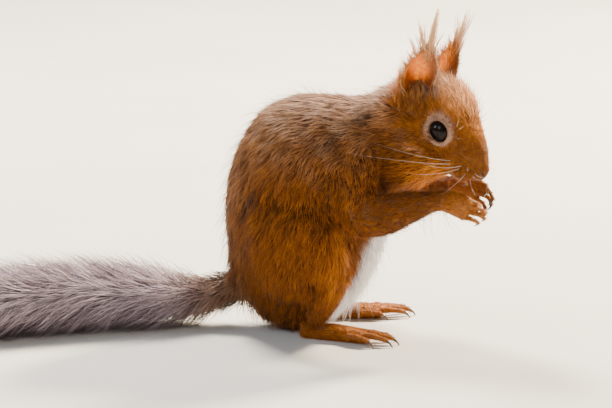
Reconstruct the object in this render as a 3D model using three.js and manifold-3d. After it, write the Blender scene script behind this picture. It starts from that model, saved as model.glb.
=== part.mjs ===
// A life-size red squirrel that sits on its hind feet and eats with both forepaws at its mouth.
// Millimetres. +X is the way the body faces, +Y is its left side and +Z is up; it stands on Z = 0.
// The solids are the outer form of the animal, out to the tips of its coat. Each part is a loft: a ring
// carried through a few stations, and neighbours are cut back from each other by a hairline gap.
import * as THREE from "three";
import { LoftGeometry } from "three/addons/geometries/LoftGeometry.js";
import { mergeVertices } from "three/addons/utils/BufferGeometryUtils.js";
import Module from "manifold-3d";

const wasm = await Module();
wasm.setup();

// ---- driving dimensions ----
const GAP = 0.35; // hairline between neighbouring solids
const EYE_RADIUS = 5.2;
const EYE_AT = [0.3, 10.5, -0.4]; // in the head's frame: forward, out to the side, up
const LID_RADIUS = 4.9;
const LID_THICKNESS = 0.9;
const HEAD_AT = [71.4, -7.4, 99.4]; // the point midway between the eyes
const HEAD_YAW = -20; // degrees, towards the animal's right
const HEAD_PITCH = 40; // degrees, nose down
const EAR_AT = [-18.4, 11.4, 3.5]; // foot of the ear, in the head's frame
const EAR_HEIGHT = 21.8;
const EAR_WALL = 1.2;
const TUFT_HEIGHT = 19;
// Each hind foot: where its heel stands, forward and out to the side, and how far its toes turn out.
const STANCE = {
  right: { heel: [5, 16.5], splay: 10 },
  left: { heel: [6, 19], splay: 20 },
};
const TOE_LENGTHS = [9.5, 14, 16, 15.5, 12]; // first to fifth toe
const FINGER_LENGTHS = [9.5, 11.5, 11, 9]; // second to fifth finger
const CLAW_LENGTH = 4.2;

const COLOURS = {
  coat: 0x9a5a24,
  back: 0x8f5f3c,
  face: 0xa0622a,
  ear: 0xc2703a,
  tuft: 0xe0cdb0,
  eye: 0x0c0a09,
  paw: 0xc9844f,
  tail: 0x5b4c48,
};

// ---- making lofts ----
const rad = THREE.MathUtils.degToRad;
const vec = (a) => new THREE.Vector3(...a);

// A row of numbers at share t of the way through the rows, on Catmull-Rom's cubic.
function rowAt(rows, t) {
  const last = rows.length - 1;
  const i = Math.min(Math.floor(t * last), last - 1);
  const f = t * last - i;
  const near = (k) => rows[THREE.MathUtils.clamp(k, 0, last)];
  const [p, q, r, s] = [near(i - 1), near(i), near(i + 1), near(i + 2)];
  const cubic = (c) =>
    2 * q[c] +
    (r[c] - p[c]) * f +
    (2 * p[c] - 5 * q[c] + 4 * r[c] - s[c]) * f * f +
    (3 * q[c] - p[c] - 3 * r[c] + s[c]) * f ** 3;
  return q.map((_, c) => cubic(c) / 2);
}

// One ring: an ellipse with its own reach over, under and to the sides of its middle.
function ring({ mid, over, side, reach }, sides, scale, shift) {
  const points = [];
  for (let j = 0; j < sides; j++) {
    const a = (2 * Math.PI * j) / sides;
    const up = Math.sin(a) * (Math.sin(a) > 0 ? reach[0] : reach[1]);
    const p = mid.clone().addScaledVector(over, up * scale);
    points.push(p.addScaledVector(side, Math.cos(a) * reach[2] * scale).add(shift));
  }
  return points;
}

// A closed solid through the stations, with a dome of the given height and rings on each end.
function loft(stations, sides, domes, domeRings = [1, 1]) {
  const last = stations.length - 1;
  const way = (i) =>
    stations[Math.min(i + 1, last)].mid.clone().sub(stations[Math.max(i - 1, 0)].mid).normalize();
  const { over, side } = stations[0];
  const hand = side.clone().cross(over).dot(way(0)) < 0 ? -1 : 1; // rings wind one way round
  const oneRing = (i, scale, shift) =>
    ring({ ...stations[i], side: stations[i].side.clone().multiplyScalar(hand) }, sides, scale, shift);
  const dome = (i, height, sign, count) =>
    [...Array(count).keys()].map((k) => {
      const a = (Math.PI / 2) * ((k + 1) / (count + 0.25));
      return oneRing(i, Math.cos(a), way(i).multiplyScalar(sign * height * Math.sin(a)));
    });
  const rings = [
    ...(domes[0] ? dome(0, domes[0], -1, domeRings[0]).reverse() : []),
    ...stations.map((_, i) => oneRing(i, 1, vec([0, 0, 0]))),
    ...(domes[1] ? dome(last, domes[1], 1, domeRings[1]) : []),
  ];
  return solidOf(new LoftGeometry(rings, { capStart: true, capEnd: true }));
}

// A closed three.js geometry as a solid.
function solidOf(geometry) {
  const bare = new THREE.BufferGeometry().setAttribute("position", geometry.getAttribute("position"));
  const merged = mergeVertices(bare.setIndex(geometry.index), 1e-4);
  const corners = [...merged.index.array];
  const triVerts = [];
  for (let i = 0; i < corners.length; i += 3) {
    const [a, b, c] = corners.slice(i, i + 3);
    if (a !== b && b !== c && c !== a) triVerts.push(a, b, c);
  }
  return new wasm.Manifold(
    new wasm.Mesh({
      numProp: 3,
      vertProperties: new Float32Array(merged.attributes.position.array),
      triVerts: new Uint32Array(triVerts),
    }),
  );
}

// Stations across the body's own plane: rows of [top x, top z, bottom x, bottom z, y, half width].
// MIDDLE is how far up from the bottom the ring is widest.
function uprightStations(rows, count, grow, middle) {
  return [...Array(count).keys()].map((k) => {
    const [tx, tz, bx, bz, y, half] = rowAt(rows, k / (count - 1));
    const top = vec([tx, y, tz]);
    const bottom = vec([bx, y, bz]);
    const height = top.distanceTo(bottom);
    return {
      mid: bottom.clone().lerp(top, middle),
      over: top.clone().sub(bottom).normalize(),
      side: vec([0, 1, 0]),
      reach: [height * (1 - middle) + grow, height * middle + grow, half + grow],
    };
  });
}

// Stations along a limb, or along a share of it: rows of [x, y, z, reach in the limb's plane, reach
// to the side].
function limbStations(rows, count, grow, sideHint, [from, to] = [0, 1]) {
  const at = (t) => vec(rowAt(rows, t).slice(0, 3));
  return [...Array(count).keys()].map((k) => {
    const t = from + ((to - from) * k) / (count - 1);
    const [x, y, z, deep, wide] = rowAt(rows, t);
    const along = at(Math.min(t + 0.02, 1)).sub(at(Math.max(t - 0.02, 0))).normalize();
    const side = vec(sideHint).addScaledVector(along, -vec(sideHint).dot(along)).normalize();
    return {
      mid: vec([x, y, z]),
      over: along.clone().cross(side).normalize(),
      side,
      reach: [deep + grow, deep + grow, wide + grow],
    };
  });
}

const join = (solids) => solids.reduce((a, b) => a.add(b));
// What is left of a solid when its neighbours are taken out of it: its one main body.
function cut(solid, cutters) {
  const pieces = cutters.reduce((a, b) => a.subtract(b), solid).decompose();
  return pieces.reduce((a, b) => (a.volume() > b.volume() ? a : b));
}
const mirrored = (rows) => rows.map((r) => [r[0], -r[1], ...r.slice(2)]);

const FLOOR_SIZE = 900;
const below = solidOf(
  new THREE.BoxGeometry(FLOOR_SIZE, FLOOR_SIZE, FLOOR_SIZE).translate(0, 0, -FLOOR_SIZE / 2),
);

// ---- trunk and neck: [back x, back z, belly x, belly z, y, half width] ----
const TRUNK = [
  [-22, 7, 14, 6, 0, 15],
  [-31, 19, 26, 17, 0, 23],
  [-35, 33, 34, 30, 0, 27],
  [-37, 57, 40, 46, 0, 29],
  [-33, 81, 43, 57, 0, 28],
  [-21, 102, 45, 65, 0, 25.5],
  [-4, 111, 47, 70, 0, 22],
  [13, 112, 50, 73, 0, 19],
  [27, 111, 53, 75, 0, 17],
];
const NECK = [
  [18, 111, 50, 72, 0, 16.5],
  [32, 113, 55, 73, -0.5, 16.5],
  [45, 117, 60, 75, -2.5, 16.5],
  [59, 119, 66, 79, -5, 14.5],
];
const trunkLoft = (grow) => loft(uprightStations(TRUNK, 11, grow, 0.5), 18, [3 + grow, 3 + grow]);
const neckLoft = () => loft(uprightStations(NECK, 4, 0, 0.5), 16, [0.5, 0.5]);

// ---- head, in its own frame: +X to the nose, +Y left, +Z to the crown ----
// [forward, top, widest level, bottom, half width]
const SKULL = [
  [25.8, -1.9, -5.5, -9.6, 3.5],
  [23.5, 0.5, -6.2, -12, 5.2],
  [19.5, 4, -6.6, -13.8, 7.3],
  [13.5, 7.9, -6, -14.4, 9.8],
  [7, 11, -5.5, -15.5, 12.5],
  [-1, 13.6, -5.4, -17.5, 14.8],
  [-9, 14.6, -5, -18.6, 15.8],
  [-17, 12.4, -4.4, -18, 15.2],
  [-24, 7.6, -4, -15, 12.4],
];
const JAW = [
  [19, -12, -14, -16.3, 2.8],
  [14, -11, -14, -17.8, 4.6],
  [6, -10, -14, -19.2, 7.4],
  [-4, -8, -13, -20.2, 10.4],
  [-13, -8, -12, -19.6, 11.8],
];
const headFrame = new THREE.Matrix4()
  .makeTranslation(...HEAD_AT)
  .multiply(new THREE.Matrix4().makeRotationZ(rad(HEAD_YAW)))
  .multiply(new THREE.Matrix4().makeRotationY(rad(HEAD_PITCH)));

function headStations(rows, count, grow) {
  const turn = (v) => v.transformDirection(headFrame);
  return [...Array(count).keys()].map((k) => {
    const [u, top, middle, bottom, half] = rowAt(rows, k / (count - 1));
    return {
      mid: vec([u, 0, middle]).applyMatrix4(headFrame),
      over: turn(vec([0, 0, 1])),
      side: turn(vec([0, 1, 0])),
      reach: [top - middle + grow, middle - bottom + grow, half + grow],
    };
  });
}

const inHead = (geometry) => solidOf(geometry.applyMatrix4(headFrame));
const sideways = ([u, v, w], s) => [u, v * s, w];

function eyeBall(s, grow) {
  const ball = new THREE.SphereGeometry(EYE_RADIUS + grow, 11, 7);
  return inHead(ball.translate(...sideways(EYE_AT, s)));
}

// The lids: a ring round the eye, where the ball comes out of the face.
function lids(s) {
  const ringOut = new THREE.TorusGeometry(LID_RADIUS, LID_THICKNESS, 4, 12).rotateX(Math.PI / 2);
  const out = EYE_AT[1] + 2.4;
  return inHead(ringOut.rotateZ(rad(4 * s)).translate(EYE_AT[0], out * s, EYE_AT[2]));
}

// The whisker pad on each side of the upper lip.
function whiskerPad(s) {
  const pad = new THREE.SphereGeometry(1, 8, 4).scale(5.2, 3, 4.2);
  return inHead(pad.translate(19.5, 4.8 * s, -9.4));
}

function skullLoft(grow) {
  const skull = loft(headStations(SKULL, 10, grow), 16, [1.8 + grow, 5 + grow], [2, 1]);
  const jaw = loft(headStations(JAW, 5, grow), 8, [1.5 + grow, 3 + grow]);
  return skull.add(jaw);
}

// ---- ears ----
// Rows up the ear: [half width, half depth]; the hollow faces out and a little forward.
const EAR_ROWS = [
  [6.4, 5],
  [7.8, 4.8],
  [8.1, 3.8],
  [7.2, 2.8],
  [5.2, 1.9],
  [2.8, 1.2],
];
const EAR_UP = (s) => vec([-0.47 + 0.05 * s, 0.1 * s, 0.86]).normalize();
const EAR_FACING = (s) => vec([0.42, 0.88 * s, 0.12]).normalize();

function earLoft(s, grow, hollow) {
  const up = EAR_UP(s);
  const facing = EAR_FACING(s);
  facing.addScaledVector(up, -facing.dot(up)).normalize();
  const across = up.clone().cross(facing).normalize();
  const foot = vec(sideways(EAR_AT, s));
  const stations = EAR_ROWS.map(([wide, deep], k) => {
    const t = k / (EAR_ROWS.length - 1);
    const thin = hollow ? -EAR_WALL : grow;
    const mid = foot.clone().addScaledVector(up, (EAR_HEIGHT - 1.5) * t * (hollow ? 0.93 : 1));
    if (hollow) mid.addScaledVector(up, 2.5).addScaledVector(facing, deep * 0.9);
    return {
      mid: mid.applyMatrix4(headFrame),
      over: facing.clone().transformDirection(headFrame),
      side: across.clone().transformDirection(headFrame),
      reach: [deep + grow, deep + grow, wide + thin].map((r) => Math.max(r, 0.4)),
    };
  });
  return loft(stations, 10, [1 + grow, hollow ? 0.5 : 1.5 + grow]);
}

// The brush of long hairs on the ear's tip: a few tapering locks that fan out. The right ear's
// brush is swept a little forwards and the left ear's a little back.
const TUFT_SWEEP = 7;
const TUFT_LOCKS = [
  { lean: 24, share: 0.78, thick: 1.1 },
  { lean: 7, share: 0.86, thick: 1.3 },
  { lean: -2, share: 1, thick: 1.5 },
  { lean: -18, share: 0.7, thick: 1.1 },
]; // degrees each lock leans back, its share of the brush's height, its thickness
function earTuft(s) {
  const up = EAR_UP(s);
  const facing = EAR_FACING(s);
  const foot = vec(sideways(EAR_AT, s)).addScaledVector(up, EAR_HEIGHT - 4.5);
  return join(
    TUFT_LOCKS.map(({ lean, share, thick }) => {
      const way = up.clone().applyAxisAngle(facing, rad(-(lean + TUFT_SWEEP * s) * s));
      const world = (p) => p.applyMatrix4(headFrame).toArray();
      const at = (d) => world(foot.clone().addScaledVector(way, d));
      const tall = TUFT_HEIGHT * share + 4;
      const rows = [
        [...at(0), thick * 1.2, thick * 1.5],
        [...at(tall * 0.55), thick * 0.9, thick],
        [...at(tall), 0.3, 0.3],
      ];
      return loft(limbStations(rows, 3, 0, [1, 0, 0]), 4, [0.5, 0.4]);
    }),
  );
}

// ---- fingers, toes and claws ----
// A digit bends a little at each of its three joints, about the given axis, and ends in a claw.
function digit({ at, way, axis, bends, length, thick, claw }) {
  const rows = [];
  const p = vec(at);
  const d = vec(way).normalize();
  bends.forEach((bend, i) => {
    const radius = thick * (1 - 0.12 * i);
    rows.push([...p.toArray(), radius, radius]);
    d.applyAxisAngle(vec(axis).normalize(), rad(bend));
    p.addScaledVector(d, length / bends.length);
  });
  rows.push([...p.toArray(), thick * 0.72, thick * 0.72]);
  const sideHint = vec(axis).normalize().toArray();
  const flesh = loft(limbStations(rows, rows.length, 0, sideHint), 5, [0, thick * 0.8]);
  const nail = [[...p.toArray(), thick * 0.5, thick * 0.42]];
  [0.5, 1].forEach((share) => {
    d.applyAxisAngle(vec(axis).normalize(), rad(claw.bend));
    p.addScaledVector(d, CLAW_LENGTH * 0.62);
    nail.push([...p.toArray(), THREE.MathUtils.lerp(thick * 0.45, 0.28, share), 0.3]);
  });
  return flesh.add(loft(limbStations(nail, 3, 0, sideHint), 4, [0, 0]));
}

// ---- forelegs: [x, y, z, reach in the leg's plane, reach to the side] ----
const ARM_RIGHT = {
  upper: [
    [30, -13, 86, 11, 8],
    [30, -19, 76, 13, 9],
    [28.5, -23, 65, 11.5, 8.5],
    [29, -24.5, 57.5, 9.5, 7.5],
  ],
  fore: [
    [31, -24.5, 57.5, 9.5, 7.5],
    [42, -24, 60, 11, 8],
    [54, -23, 64, 9.2, 6.6],
    [64, -21.5, 66.6, 6.8, 5.2],
    [70, -20.5, 67.5, 5.4, 4.5],
  ],
  palm: [
    [69, -20.7, 67.2, 5, 4.2],
    [74, -20, 66, 5.8, 3.6],
    [79, -18.8, 63.6, 6, 3.1],
  ],
};
const ARM_LEFT = {
  upper: mirrored(ARM_RIGHT.upper),
  fore: [
    [32, 23.5, 59, 9.5, 7.5],
    [44, 20, 62, 10, 7.6],
    [56, 13.5, 66, 8, 6.2],
    [66, 7, 69, 6, 5],
    [71.5, 3, 70, 5, 4.3],
  ],
  palm: [
    [70.7, 3.6, 69.9, 4.6, 4],
    [76, 0.6, 70, 5.2, 3.5],
    [81, -2.2, 69, 5.2, 3.0],
  ],
};

function paw(palm, turn) {
  const flesh = loft(limbStations(palm, 3, 0, [0, 1, 0]), 9, [1.5, 2]);
  const [x, y, z] = palm.at(-1);
  const digits = FINGER_LENGTHS.map((length, i) =>
    digit({
      at: [x - 0.5 + turn.reach[i], y + turn.out * (i - 1.5) * 0.3, z + 4.1 - i * 2.75],
      way: turn.way,
      axis: turn.axis,
      bends: turn.bends,
      length,
      thick: 1.65,
      claw: { bend: turn.clawBend },
    }),
  );
  const thumb = digit({
    at: [x - 5, y + turn.thumbSide, z + 3.4],
    way: [0.5, turn.thumbSide * 0.25, 0.7],
    axis: turn.axis,
    bends: [10, 20, 20],
    length: 4.5,
    thick: 1.3,
    claw: { bend: 20 },
  });
  return join([flesh, ...digits, thumb]);
}
const PAW_TURN_RIGHT = {
  way: [0.93, 0.1, -0.18],
  axis: [0.1, 0.5, 0.86],
  bends: [0, 22, 34],
  clawBend: 28,
  out: 1,
  reach: [-0.5, 0.6, 0.4, -1],
  thumbSide: 2.4,
};
const PAW_TURN_LEFT = {
  way: [0.95, -0.05, -0.12],
  axis: [-0.1, 0.55, -0.83],
  bends: [4, 22, 32],
  clawBend: 28,
  out: -1,
  reach: [0, 0.8, 0.5, -0.8],
  thumbSide: -2.2,
};

// ---- hind legs: [forward, out to the side, up, reach in the leg's plane, reach to the side] ----
const THIGH = [
  [-13, 16, 43, 21, 13],
  [-6, 19.5, 43, 26.5, 16],
  [5, 22.5, 41, 26, 15.5],
  [14.5, 24.5, 38, 20.5, 12.5],
  [20, 25.5, 36.5, 15.5, 10],
];
const SHANK = [
  [18, 24.5, 33, 12, 9],
  [15.5, 24, 23, 11, 8.4],
  [12.5, 23, 14, 8.6, 7],
  [9.5, 22.3, 8, 6, 5.6],
];
const onSide = (rows, s) => rows.map(([x, out, ...rest]) => [x, out * s, ...rest]);
const thighLoft = (s, grow) =>
  loft(limbStations(onSide(THIGH, s), 5, grow, [0, 1, 0]), 14, [13 + grow, 8 + grow], [2, 2]);
function shankLoft(s, grow) {
  const [, out] = stanceOf(s).heel;
  const rows = SHANK.map(([x, y, ...rest], i) => [x, y + ((out - 19) * i) / 3, ...rest]);
  return loft(limbStations(onSide(rows, s), 4, grow, [0, 1, 0]), 12, [5 + grow, 3 + grow]);
}
const stanceOf = (s) => (s < 0 ? STANCE.right : STANCE.left);

// Where a point of the foot lies: so far along it, so far out from the body, so high.
function footPlace(s) {
  const { heel: [forward, out], splay } = stanceOf(s);
  const way = vec([Math.cos(rad(splay)), s * Math.sin(rad(splay)), 0]);
  const across = vec([-way.y * s, way.x * s, 0]); // out from the body, square to the foot
  const heel = vec([forward, out * s, 0]);
  const at = (d, o, z) => heel.clone().addScaledVector(way, d).addScaledVector(across, o).setZ(z);
  return { way, across, at };
}
const METATARSUS = [
  [0, 3.1, 3.8, 3.4],
  [8, 3.3, 4.3, 4],
  [18, 3.1, 4, 4.6],
  [27, 2.7, 3.4, 5.4],
]; // rows of [along the foot, height of its middle, half height, half width]
function metatarsus(s, grow) {
  const { across, at } = footPlace(s);
  const rows = METATARSUS.map(([d, z, deep, wide]) => [...at(d, 0, z).toArray(), deep, wide]);
  return loft(limbStations(rows, 4, grow, across.toArray()), 8, [2.5 + grow, 2 + grow]);
}
function hindFoot(s) {
  const { way, across, at } = footPlace(s);
  const ROOTS = [-5.6, -3.4, -0.4, 2.6, 5.4]; // where each toe leaves the foot, inner to outer
  const BACK = [-8, -1.5, 0, -0.6, -4];
  const FAN = [-16, -8, 0, 9, 20];
  const toes = TOE_LENGTHS.map((length, i) =>
    digit({
      at: at(26 + BACK[i], ROOTS[i] * 0.85, 3.1).toArray(),
      way: way.clone().applyAxisAngle(vec([0, 0, 1]), rad(FAN[i] * s)).setZ(0.2).toArray(),
      axis: across.clone().multiplyScalar(s).toArray(),
      bends: [4, 14],
      length,
      thick: 1.9,
      claw: { bend: 22 },
    }),
  );
  return cut(join([metatarsus(s, 0), ...toes]), [below]);
}

// ---- tail: [x, y, z, reach up and down, reach to the side] ----
const TAIL = [
  [-22, 0, 24, 8.5, 9],
  [-34, 0, 17, 9.5, 11],
  [-50, -2, 13, 12.4, 15],
  [-72, -8, 14.6, 14.9, 21],
  [-98, -18, 16, 16.5, 25],
  [-126, -32, 16.2, 16.7, 26],
  [-152, -49, 14.6, 15, 23.5],
  [-174, -67, 11.5, 11.8, 17.5],
  [-189, -81, 7.5, 7.8, 10],
];
const TAIL_SPLITS = [0.36, 0.68]; // shares of the tail's rows where one length ends
function tailLength(from, to, domes) {
  const count = Math.ceil((to - from) * 13) + 1;
  return loft(limbStations(TAIL, count, 0, [0, 1, 0], [from, to]), 12, domes, [1, 2]);
}
const TAIL_JOINT = 0.0022; // share of the tail left open between two lengths

// ---- cutting each part back from its neighbours ----
const parts = [];
const add = (name, solid, colour, roughness = 0.85) =>
  parts.push({ name, solid, colour, roughness });

const SIDES = [
  { side: "right", s: -1, arm: ARM_RIGHT, turn: PAW_TURN_RIGHT },
  { side: "left", s: 1, arm: ARM_LEFT, turn: PAW_TURN_LEFT },
];

const armLoft = (rows, grow, domes) =>
  loft(limbStations(rows, rows.length, grow, [0, 1, 0]), 12, domes.map((d) => d + grow), [2, 1]);

const trunkGrown = trunkLoft(GAP);
const headGrown = skullLoft(GAP);
const legCutters = [];
const armCutters = [];
for (const { side, s, arm, turn } of SIDES) {
  const foreGrown = armLoft(arm.fore, GAP, [5, 1]);
  const upperGrown = armLoft(arm.upper, GAP, [4, 5]);
  const thighGrown = thighLoft(s, GAP);
  add("upper_arm_" + side, cut(armLoft(arm.upper, 0, [4, 5]), [headGrown]), COLOURS.coat);
  add("forearm_" + side, cut(armLoft(arm.fore, 0, [5, 1]), [upperGrown]), COLOURS.coat);
  add("forepaw_" + side, cut(paw(arm.palm, turn), [foreGrown]), COLOURS.paw, 0.7);
  add("thigh_" + side, cut(thighLoft(s, 0), [upperGrown, foreGrown, trunkGrown, below]), COLOURS.coat);
  add("shank_" + side, cut(shankLoft(s, 0), [thighGrown, metatarsus(s, GAP), below]), COLOURS.coat);
  add("hind_foot_" + side, hindFoot(s), COLOURS.paw, 0.7);
  legCutters.push(shankLoft(s, GAP), metatarsus(s, GAP));
  armCutters.push(upperGrown, foreGrown);
  const ear = earLoft(s, 0, false).subtract(earLoft(s, 0, true));
  add("ear_" + side, cut(ear, [headGrown]), COLOURS.ear);
  add("ear_tuft_" + side, cut(earTuft(s), [earLoft(s, GAP, false)]), COLOURS.tuft);
  add("eye_" + side, eyeBall(s, 0), COLOURS.eye, 0.08);
}

const face = join([skullLoft(0), whiskerPad(-1), whiskerPad(1), lids(-1), lids(1)]);
add("head", cut(face, [eyeBall(-1, GAP), eyeBall(1, GAP)]), COLOURS.face);
add("neck", cut(neckLoft(), [headGrown, trunkGrown, ...armCutters]), COLOURS.back);
add("trunk", cut(trunkLoft(0), [...armCutters, ...legCutters]), COLOURS.coat);

const tailRows = [0, ...TAIL_SPLITS, 1];
const TAIL_NAMES = ["tail_base", "tail_middle", "tail_end"];
const tailCutters = [trunkGrown, ...legCutters, below];
TAIL_NAMES.forEach((name, i) => {
  const from = tailRows[i] + (i > 0 ? TAIL_JOINT : 0);
  const to = tailRows[i + 1] - (i < 2 ? TAIL_JOINT : 0);
  const domes = [i > 0 ? 0 : 2, i < 2 ? 0 : 7];
  add(name, cut(tailLength(from, to, domes), tailCutters), COLOURS.tail);
});

// ---- the finished group, with its origin on the floor under the middle of its outline ----
function meshOf({ name, solid, colour, roughness }) {
  const { numProp, vertProperties, triVerts, numVert } = solid.getMesh();
  const position = new Float32Array(numVert * 3);
  for (let i = 0; i < numVert; i++) {
    position.set(vertProperties.subarray(i * numProp, i * numProp + 3), i * 3);
  }
  const geometry = new THREE.BufferGeometry()
    .setAttribute("position", new THREE.BufferAttribute(position, 3))
    .setIndex(new THREE.BufferAttribute(triVerts, 1));
  geometry.computeVertexNormals();
  const mesh = new THREE.Mesh(geometry, new THREE.MeshStandardMaterial({ color: colour, roughness }));
  mesh.name = name;
  return mesh;
}

const squirrel = new THREE.Group();
squirrel.add(...parts.map(meshOf));
const outline = new THREE.Box3().setFromObject(squirrel);
const middle = outline.getCenter(new THREE.Vector3());
squirrel.position.set(-middle.x, -middle.y, 0);

export default squirrel;
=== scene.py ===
# %% [markdown]
# # A red squirrel in its coat
# The squirrel's solids are made already, and they stay where they are. This lesson dresses them,
# as a museum's preparator would: one skin over the whole body, glossy eyes, claws and whiskers,
# and then a coat of thin tufts, each a small closed spike that lies along the body. The solids
# reach out to the tips of the coat, so the skin lies inside them by the coat's depth.

import time

import bpy
import numpy as np
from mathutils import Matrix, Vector


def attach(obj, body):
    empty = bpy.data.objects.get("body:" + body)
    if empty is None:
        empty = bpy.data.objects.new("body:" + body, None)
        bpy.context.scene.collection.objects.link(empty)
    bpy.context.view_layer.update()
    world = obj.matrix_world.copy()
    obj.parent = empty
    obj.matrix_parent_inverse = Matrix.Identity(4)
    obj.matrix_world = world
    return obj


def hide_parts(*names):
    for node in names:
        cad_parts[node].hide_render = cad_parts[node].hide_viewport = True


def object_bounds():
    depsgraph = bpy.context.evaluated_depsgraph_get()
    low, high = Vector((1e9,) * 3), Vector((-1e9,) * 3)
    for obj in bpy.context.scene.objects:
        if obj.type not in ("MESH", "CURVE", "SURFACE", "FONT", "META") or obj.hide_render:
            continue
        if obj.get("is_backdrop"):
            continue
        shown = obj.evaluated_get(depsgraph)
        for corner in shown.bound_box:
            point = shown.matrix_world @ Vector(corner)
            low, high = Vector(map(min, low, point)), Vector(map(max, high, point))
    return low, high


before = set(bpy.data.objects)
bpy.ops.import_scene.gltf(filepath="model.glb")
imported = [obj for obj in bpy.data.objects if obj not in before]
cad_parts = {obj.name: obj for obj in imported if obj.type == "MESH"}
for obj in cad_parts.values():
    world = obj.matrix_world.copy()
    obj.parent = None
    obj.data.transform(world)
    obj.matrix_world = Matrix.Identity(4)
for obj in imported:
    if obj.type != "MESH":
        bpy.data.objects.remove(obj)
solid_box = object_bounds()
began = time.time()
print("solids' box, m:", [round(v, 4) for corner in solid_box for v in corner])

# %% [markdown]
# The body is worked out in millimetres from a point on the floor between the hips: x forward, y
# to the animal's left, z up. The frame's own zero lies under the middle of the whole animal, tail
# included, so every finished point is moved across by one fixed step and turned into metres.

# %% From body millimetres to frame metres
MM = 0.001
BODY_TO_FRAME = np.array([53.19, 24.04, 0.0])
rng = np.random.default_rng(20)


def place(points):
    """Frame metres of body millimetres: the point plus the fixed step, times 0.001."""
    return (np.asarray(points, float) + BODY_TO_FRAME) * MM


def unit(v):
    """Each vector over its own length."""
    return v / np.maximum(np.linalg.norm(v, axis=-1, keepdims=True), 1e-9)


# %% [markdown]
# ## Camera
# The squirrel is seen from its right side, a little from the front and a little from above, from
# far off through a long lens, so that its outline is nearly a parallel projection.

# %% The camera
AIM = np.array([2.8, 0.0, 58.9])
AZIMUTH, ELEVATION = np.radians([10.0, 12.0])
DISTANCE = 1600.0
SENSOR = 36.0
FRAME_WIDTH = 281.5  # mm across the frame, at the aim
backwards = np.array(
    [
        np.sin(AZIMUTH) * np.cos(ELEVATION),
        -np.cos(AZIMUTH) * np.cos(ELEVATION),
        np.sin(ELEVATION),
    ]
)
camera = bpy.data.objects.new("camera", bpy.data.cameras.new("camera"))
camera.data.sensor_width = SENSOR
camera.data.lens = SENSOR * DISTANCE / FRAME_WIDTH
camera.location = place(AIM + DISTANCE * backwards)
camera.rotation_euler = Vector(backwards).to_track_quat("Z", "Y").to_euler()
bpy.context.scene.collection.objects.link(camera)
bpy.context.scene.camera = camera
print("lens, mm:", round(camera.data.lens, 1))

# %% [markdown]
# ## Lofts
# Every limb is a loft: a ring carried through stations. A ring has its own reach over, under and
# to the sides of its middle, which gives a deep belly under a flat back without more points. The
# rows of numbers are joined by Catmull-Rom's cubic, so a few rows make a smooth limb.


# %% Rows and rings
def row_at(rows, t):
    """Rows at shares t of the way: (2q + (r-p)f + (2p-5q+4r-s)f^2 + (3q-p-3r+s)f^3) / 2."""
    rows = np.asarray(rows, float)
    last = len(rows) - 1
    i = np.minimum((t * last).astype(int), last - 1)
    f = (t * last - i)[:, None]
    p, q, r, s = (rows[np.clip(i + k, 0, last)] for k in (-1, 0, 1, 2))
    cubic = (2 * p - 5 * q + 4 * r - s) * f**2 + (3 * q - p - 3 * r + s) * f**3
    return (2 * q + (r - p) * f + cubic) / 2


def rings_of(mid, over, side, reach, sides):
    """Middle + over * sin(a) * reach above or below + side * cos(a) * reach sideways."""
    a = 2 * np.pi * np.arange(sides) / sides
    above = np.where(np.sin(a) > 0, reach[:, :1], reach[:, 1:2]) * np.sin(a)
    across = reach[:, 2:3] * np.cos(a)
    return mid[:, None] + above[..., None] * over[:, None] + across[..., None] * side[:, None]


def domed(rings, domes, count=4):
    """Rings with rounded ends: at angle a of a quarter turn, which stops just short of the pole, an
    end ring shrinks by cos a and moves on by height * sin a."""
    a = np.pi / 2 * (np.arange(count) + 1) / (count + 0.15)
    ends = []
    for end, height in zip((0, -1), domes):
        ring = rings[end]
        middle = ring.mean(0)
        way = unit(middle - rings[1 if end == 0 else -2].mean(0))
        grown = middle + np.cos(a)[:, None, None] * (ring - middle)
        ends.append(grown + (height * np.sin(a))[:, None, None] * way)
    return np.concatenate([ends[0][::-1], rings, ends[1]])


def closed_faces(shape):
    """Quads between the rings of a grid, and a fan of triangles from a pole point at each end."""
    n, sides = shape
    j = np.arange(sides)
    k = (j + 1) % sides
    start = (np.arange(n - 1) * sides)[:, None]
    quads = np.stack([start + j, start + k, start + sides + k, start + sides + j], -1)
    last = (n - 1) * sides
    poles = n * sides, n * sides + 1
    first_fan = np.stack([k, j, np.full(sides, poles[0])], -1)
    last_fan = np.stack([last + j, last + k, np.full(sides, poles[1])], -1)
    return quads.reshape(-1, 4), np.concatenate([first_fan, last_fan])


# %% Stations across the body's own plane, along a limb and through the head
def upright_rings(rows, count, depth, sides=48, middle=0.5):
    """Rows of [top x, top z, bottom x, bottom z, y, half width], drawn in by the coat's depth."""
    x = row_at(rows, np.linspace(0, 1, count))
    top, bottom = x[:, [0, 4, 1]], x[:, [2, 4, 3]]
    height = np.linalg.norm(top - bottom, axis=1)
    reach = np.stack([height * (1 - middle), height * middle, x[:, 5]], 1) - depth
    side = np.tile([0.0, 1.0, 0.0], (count, 1))
    return rings_of(bottom + (top - bottom) * middle, unit(top - bottom), side, reach, sides)


def limb_rings(rows, count, depth, sides=32, hint=(0, 1, 0)):
    """Rows of [x, y, z, reach in the limb's plane, reach sideways], drawn in by the coat."""
    t = np.linspace(0, 1, count)
    x = row_at(rows, t)
    ahead, behind = row_at(rows, np.minimum(t + 0.02, 1)), row_at(rows, np.maximum(t - 0.02, 0))
    along = unit(ahead[:, :3] - behind[:, :3])
    side = unit(hint - (along @ np.asarray(hint, float))[:, None] * along)
    reach = np.maximum(x[:, [3, 3, 4]] - depth, 0.25)
    return rings_of(x[:, :3], np.cross(along, side), side, reach, sides)


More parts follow.
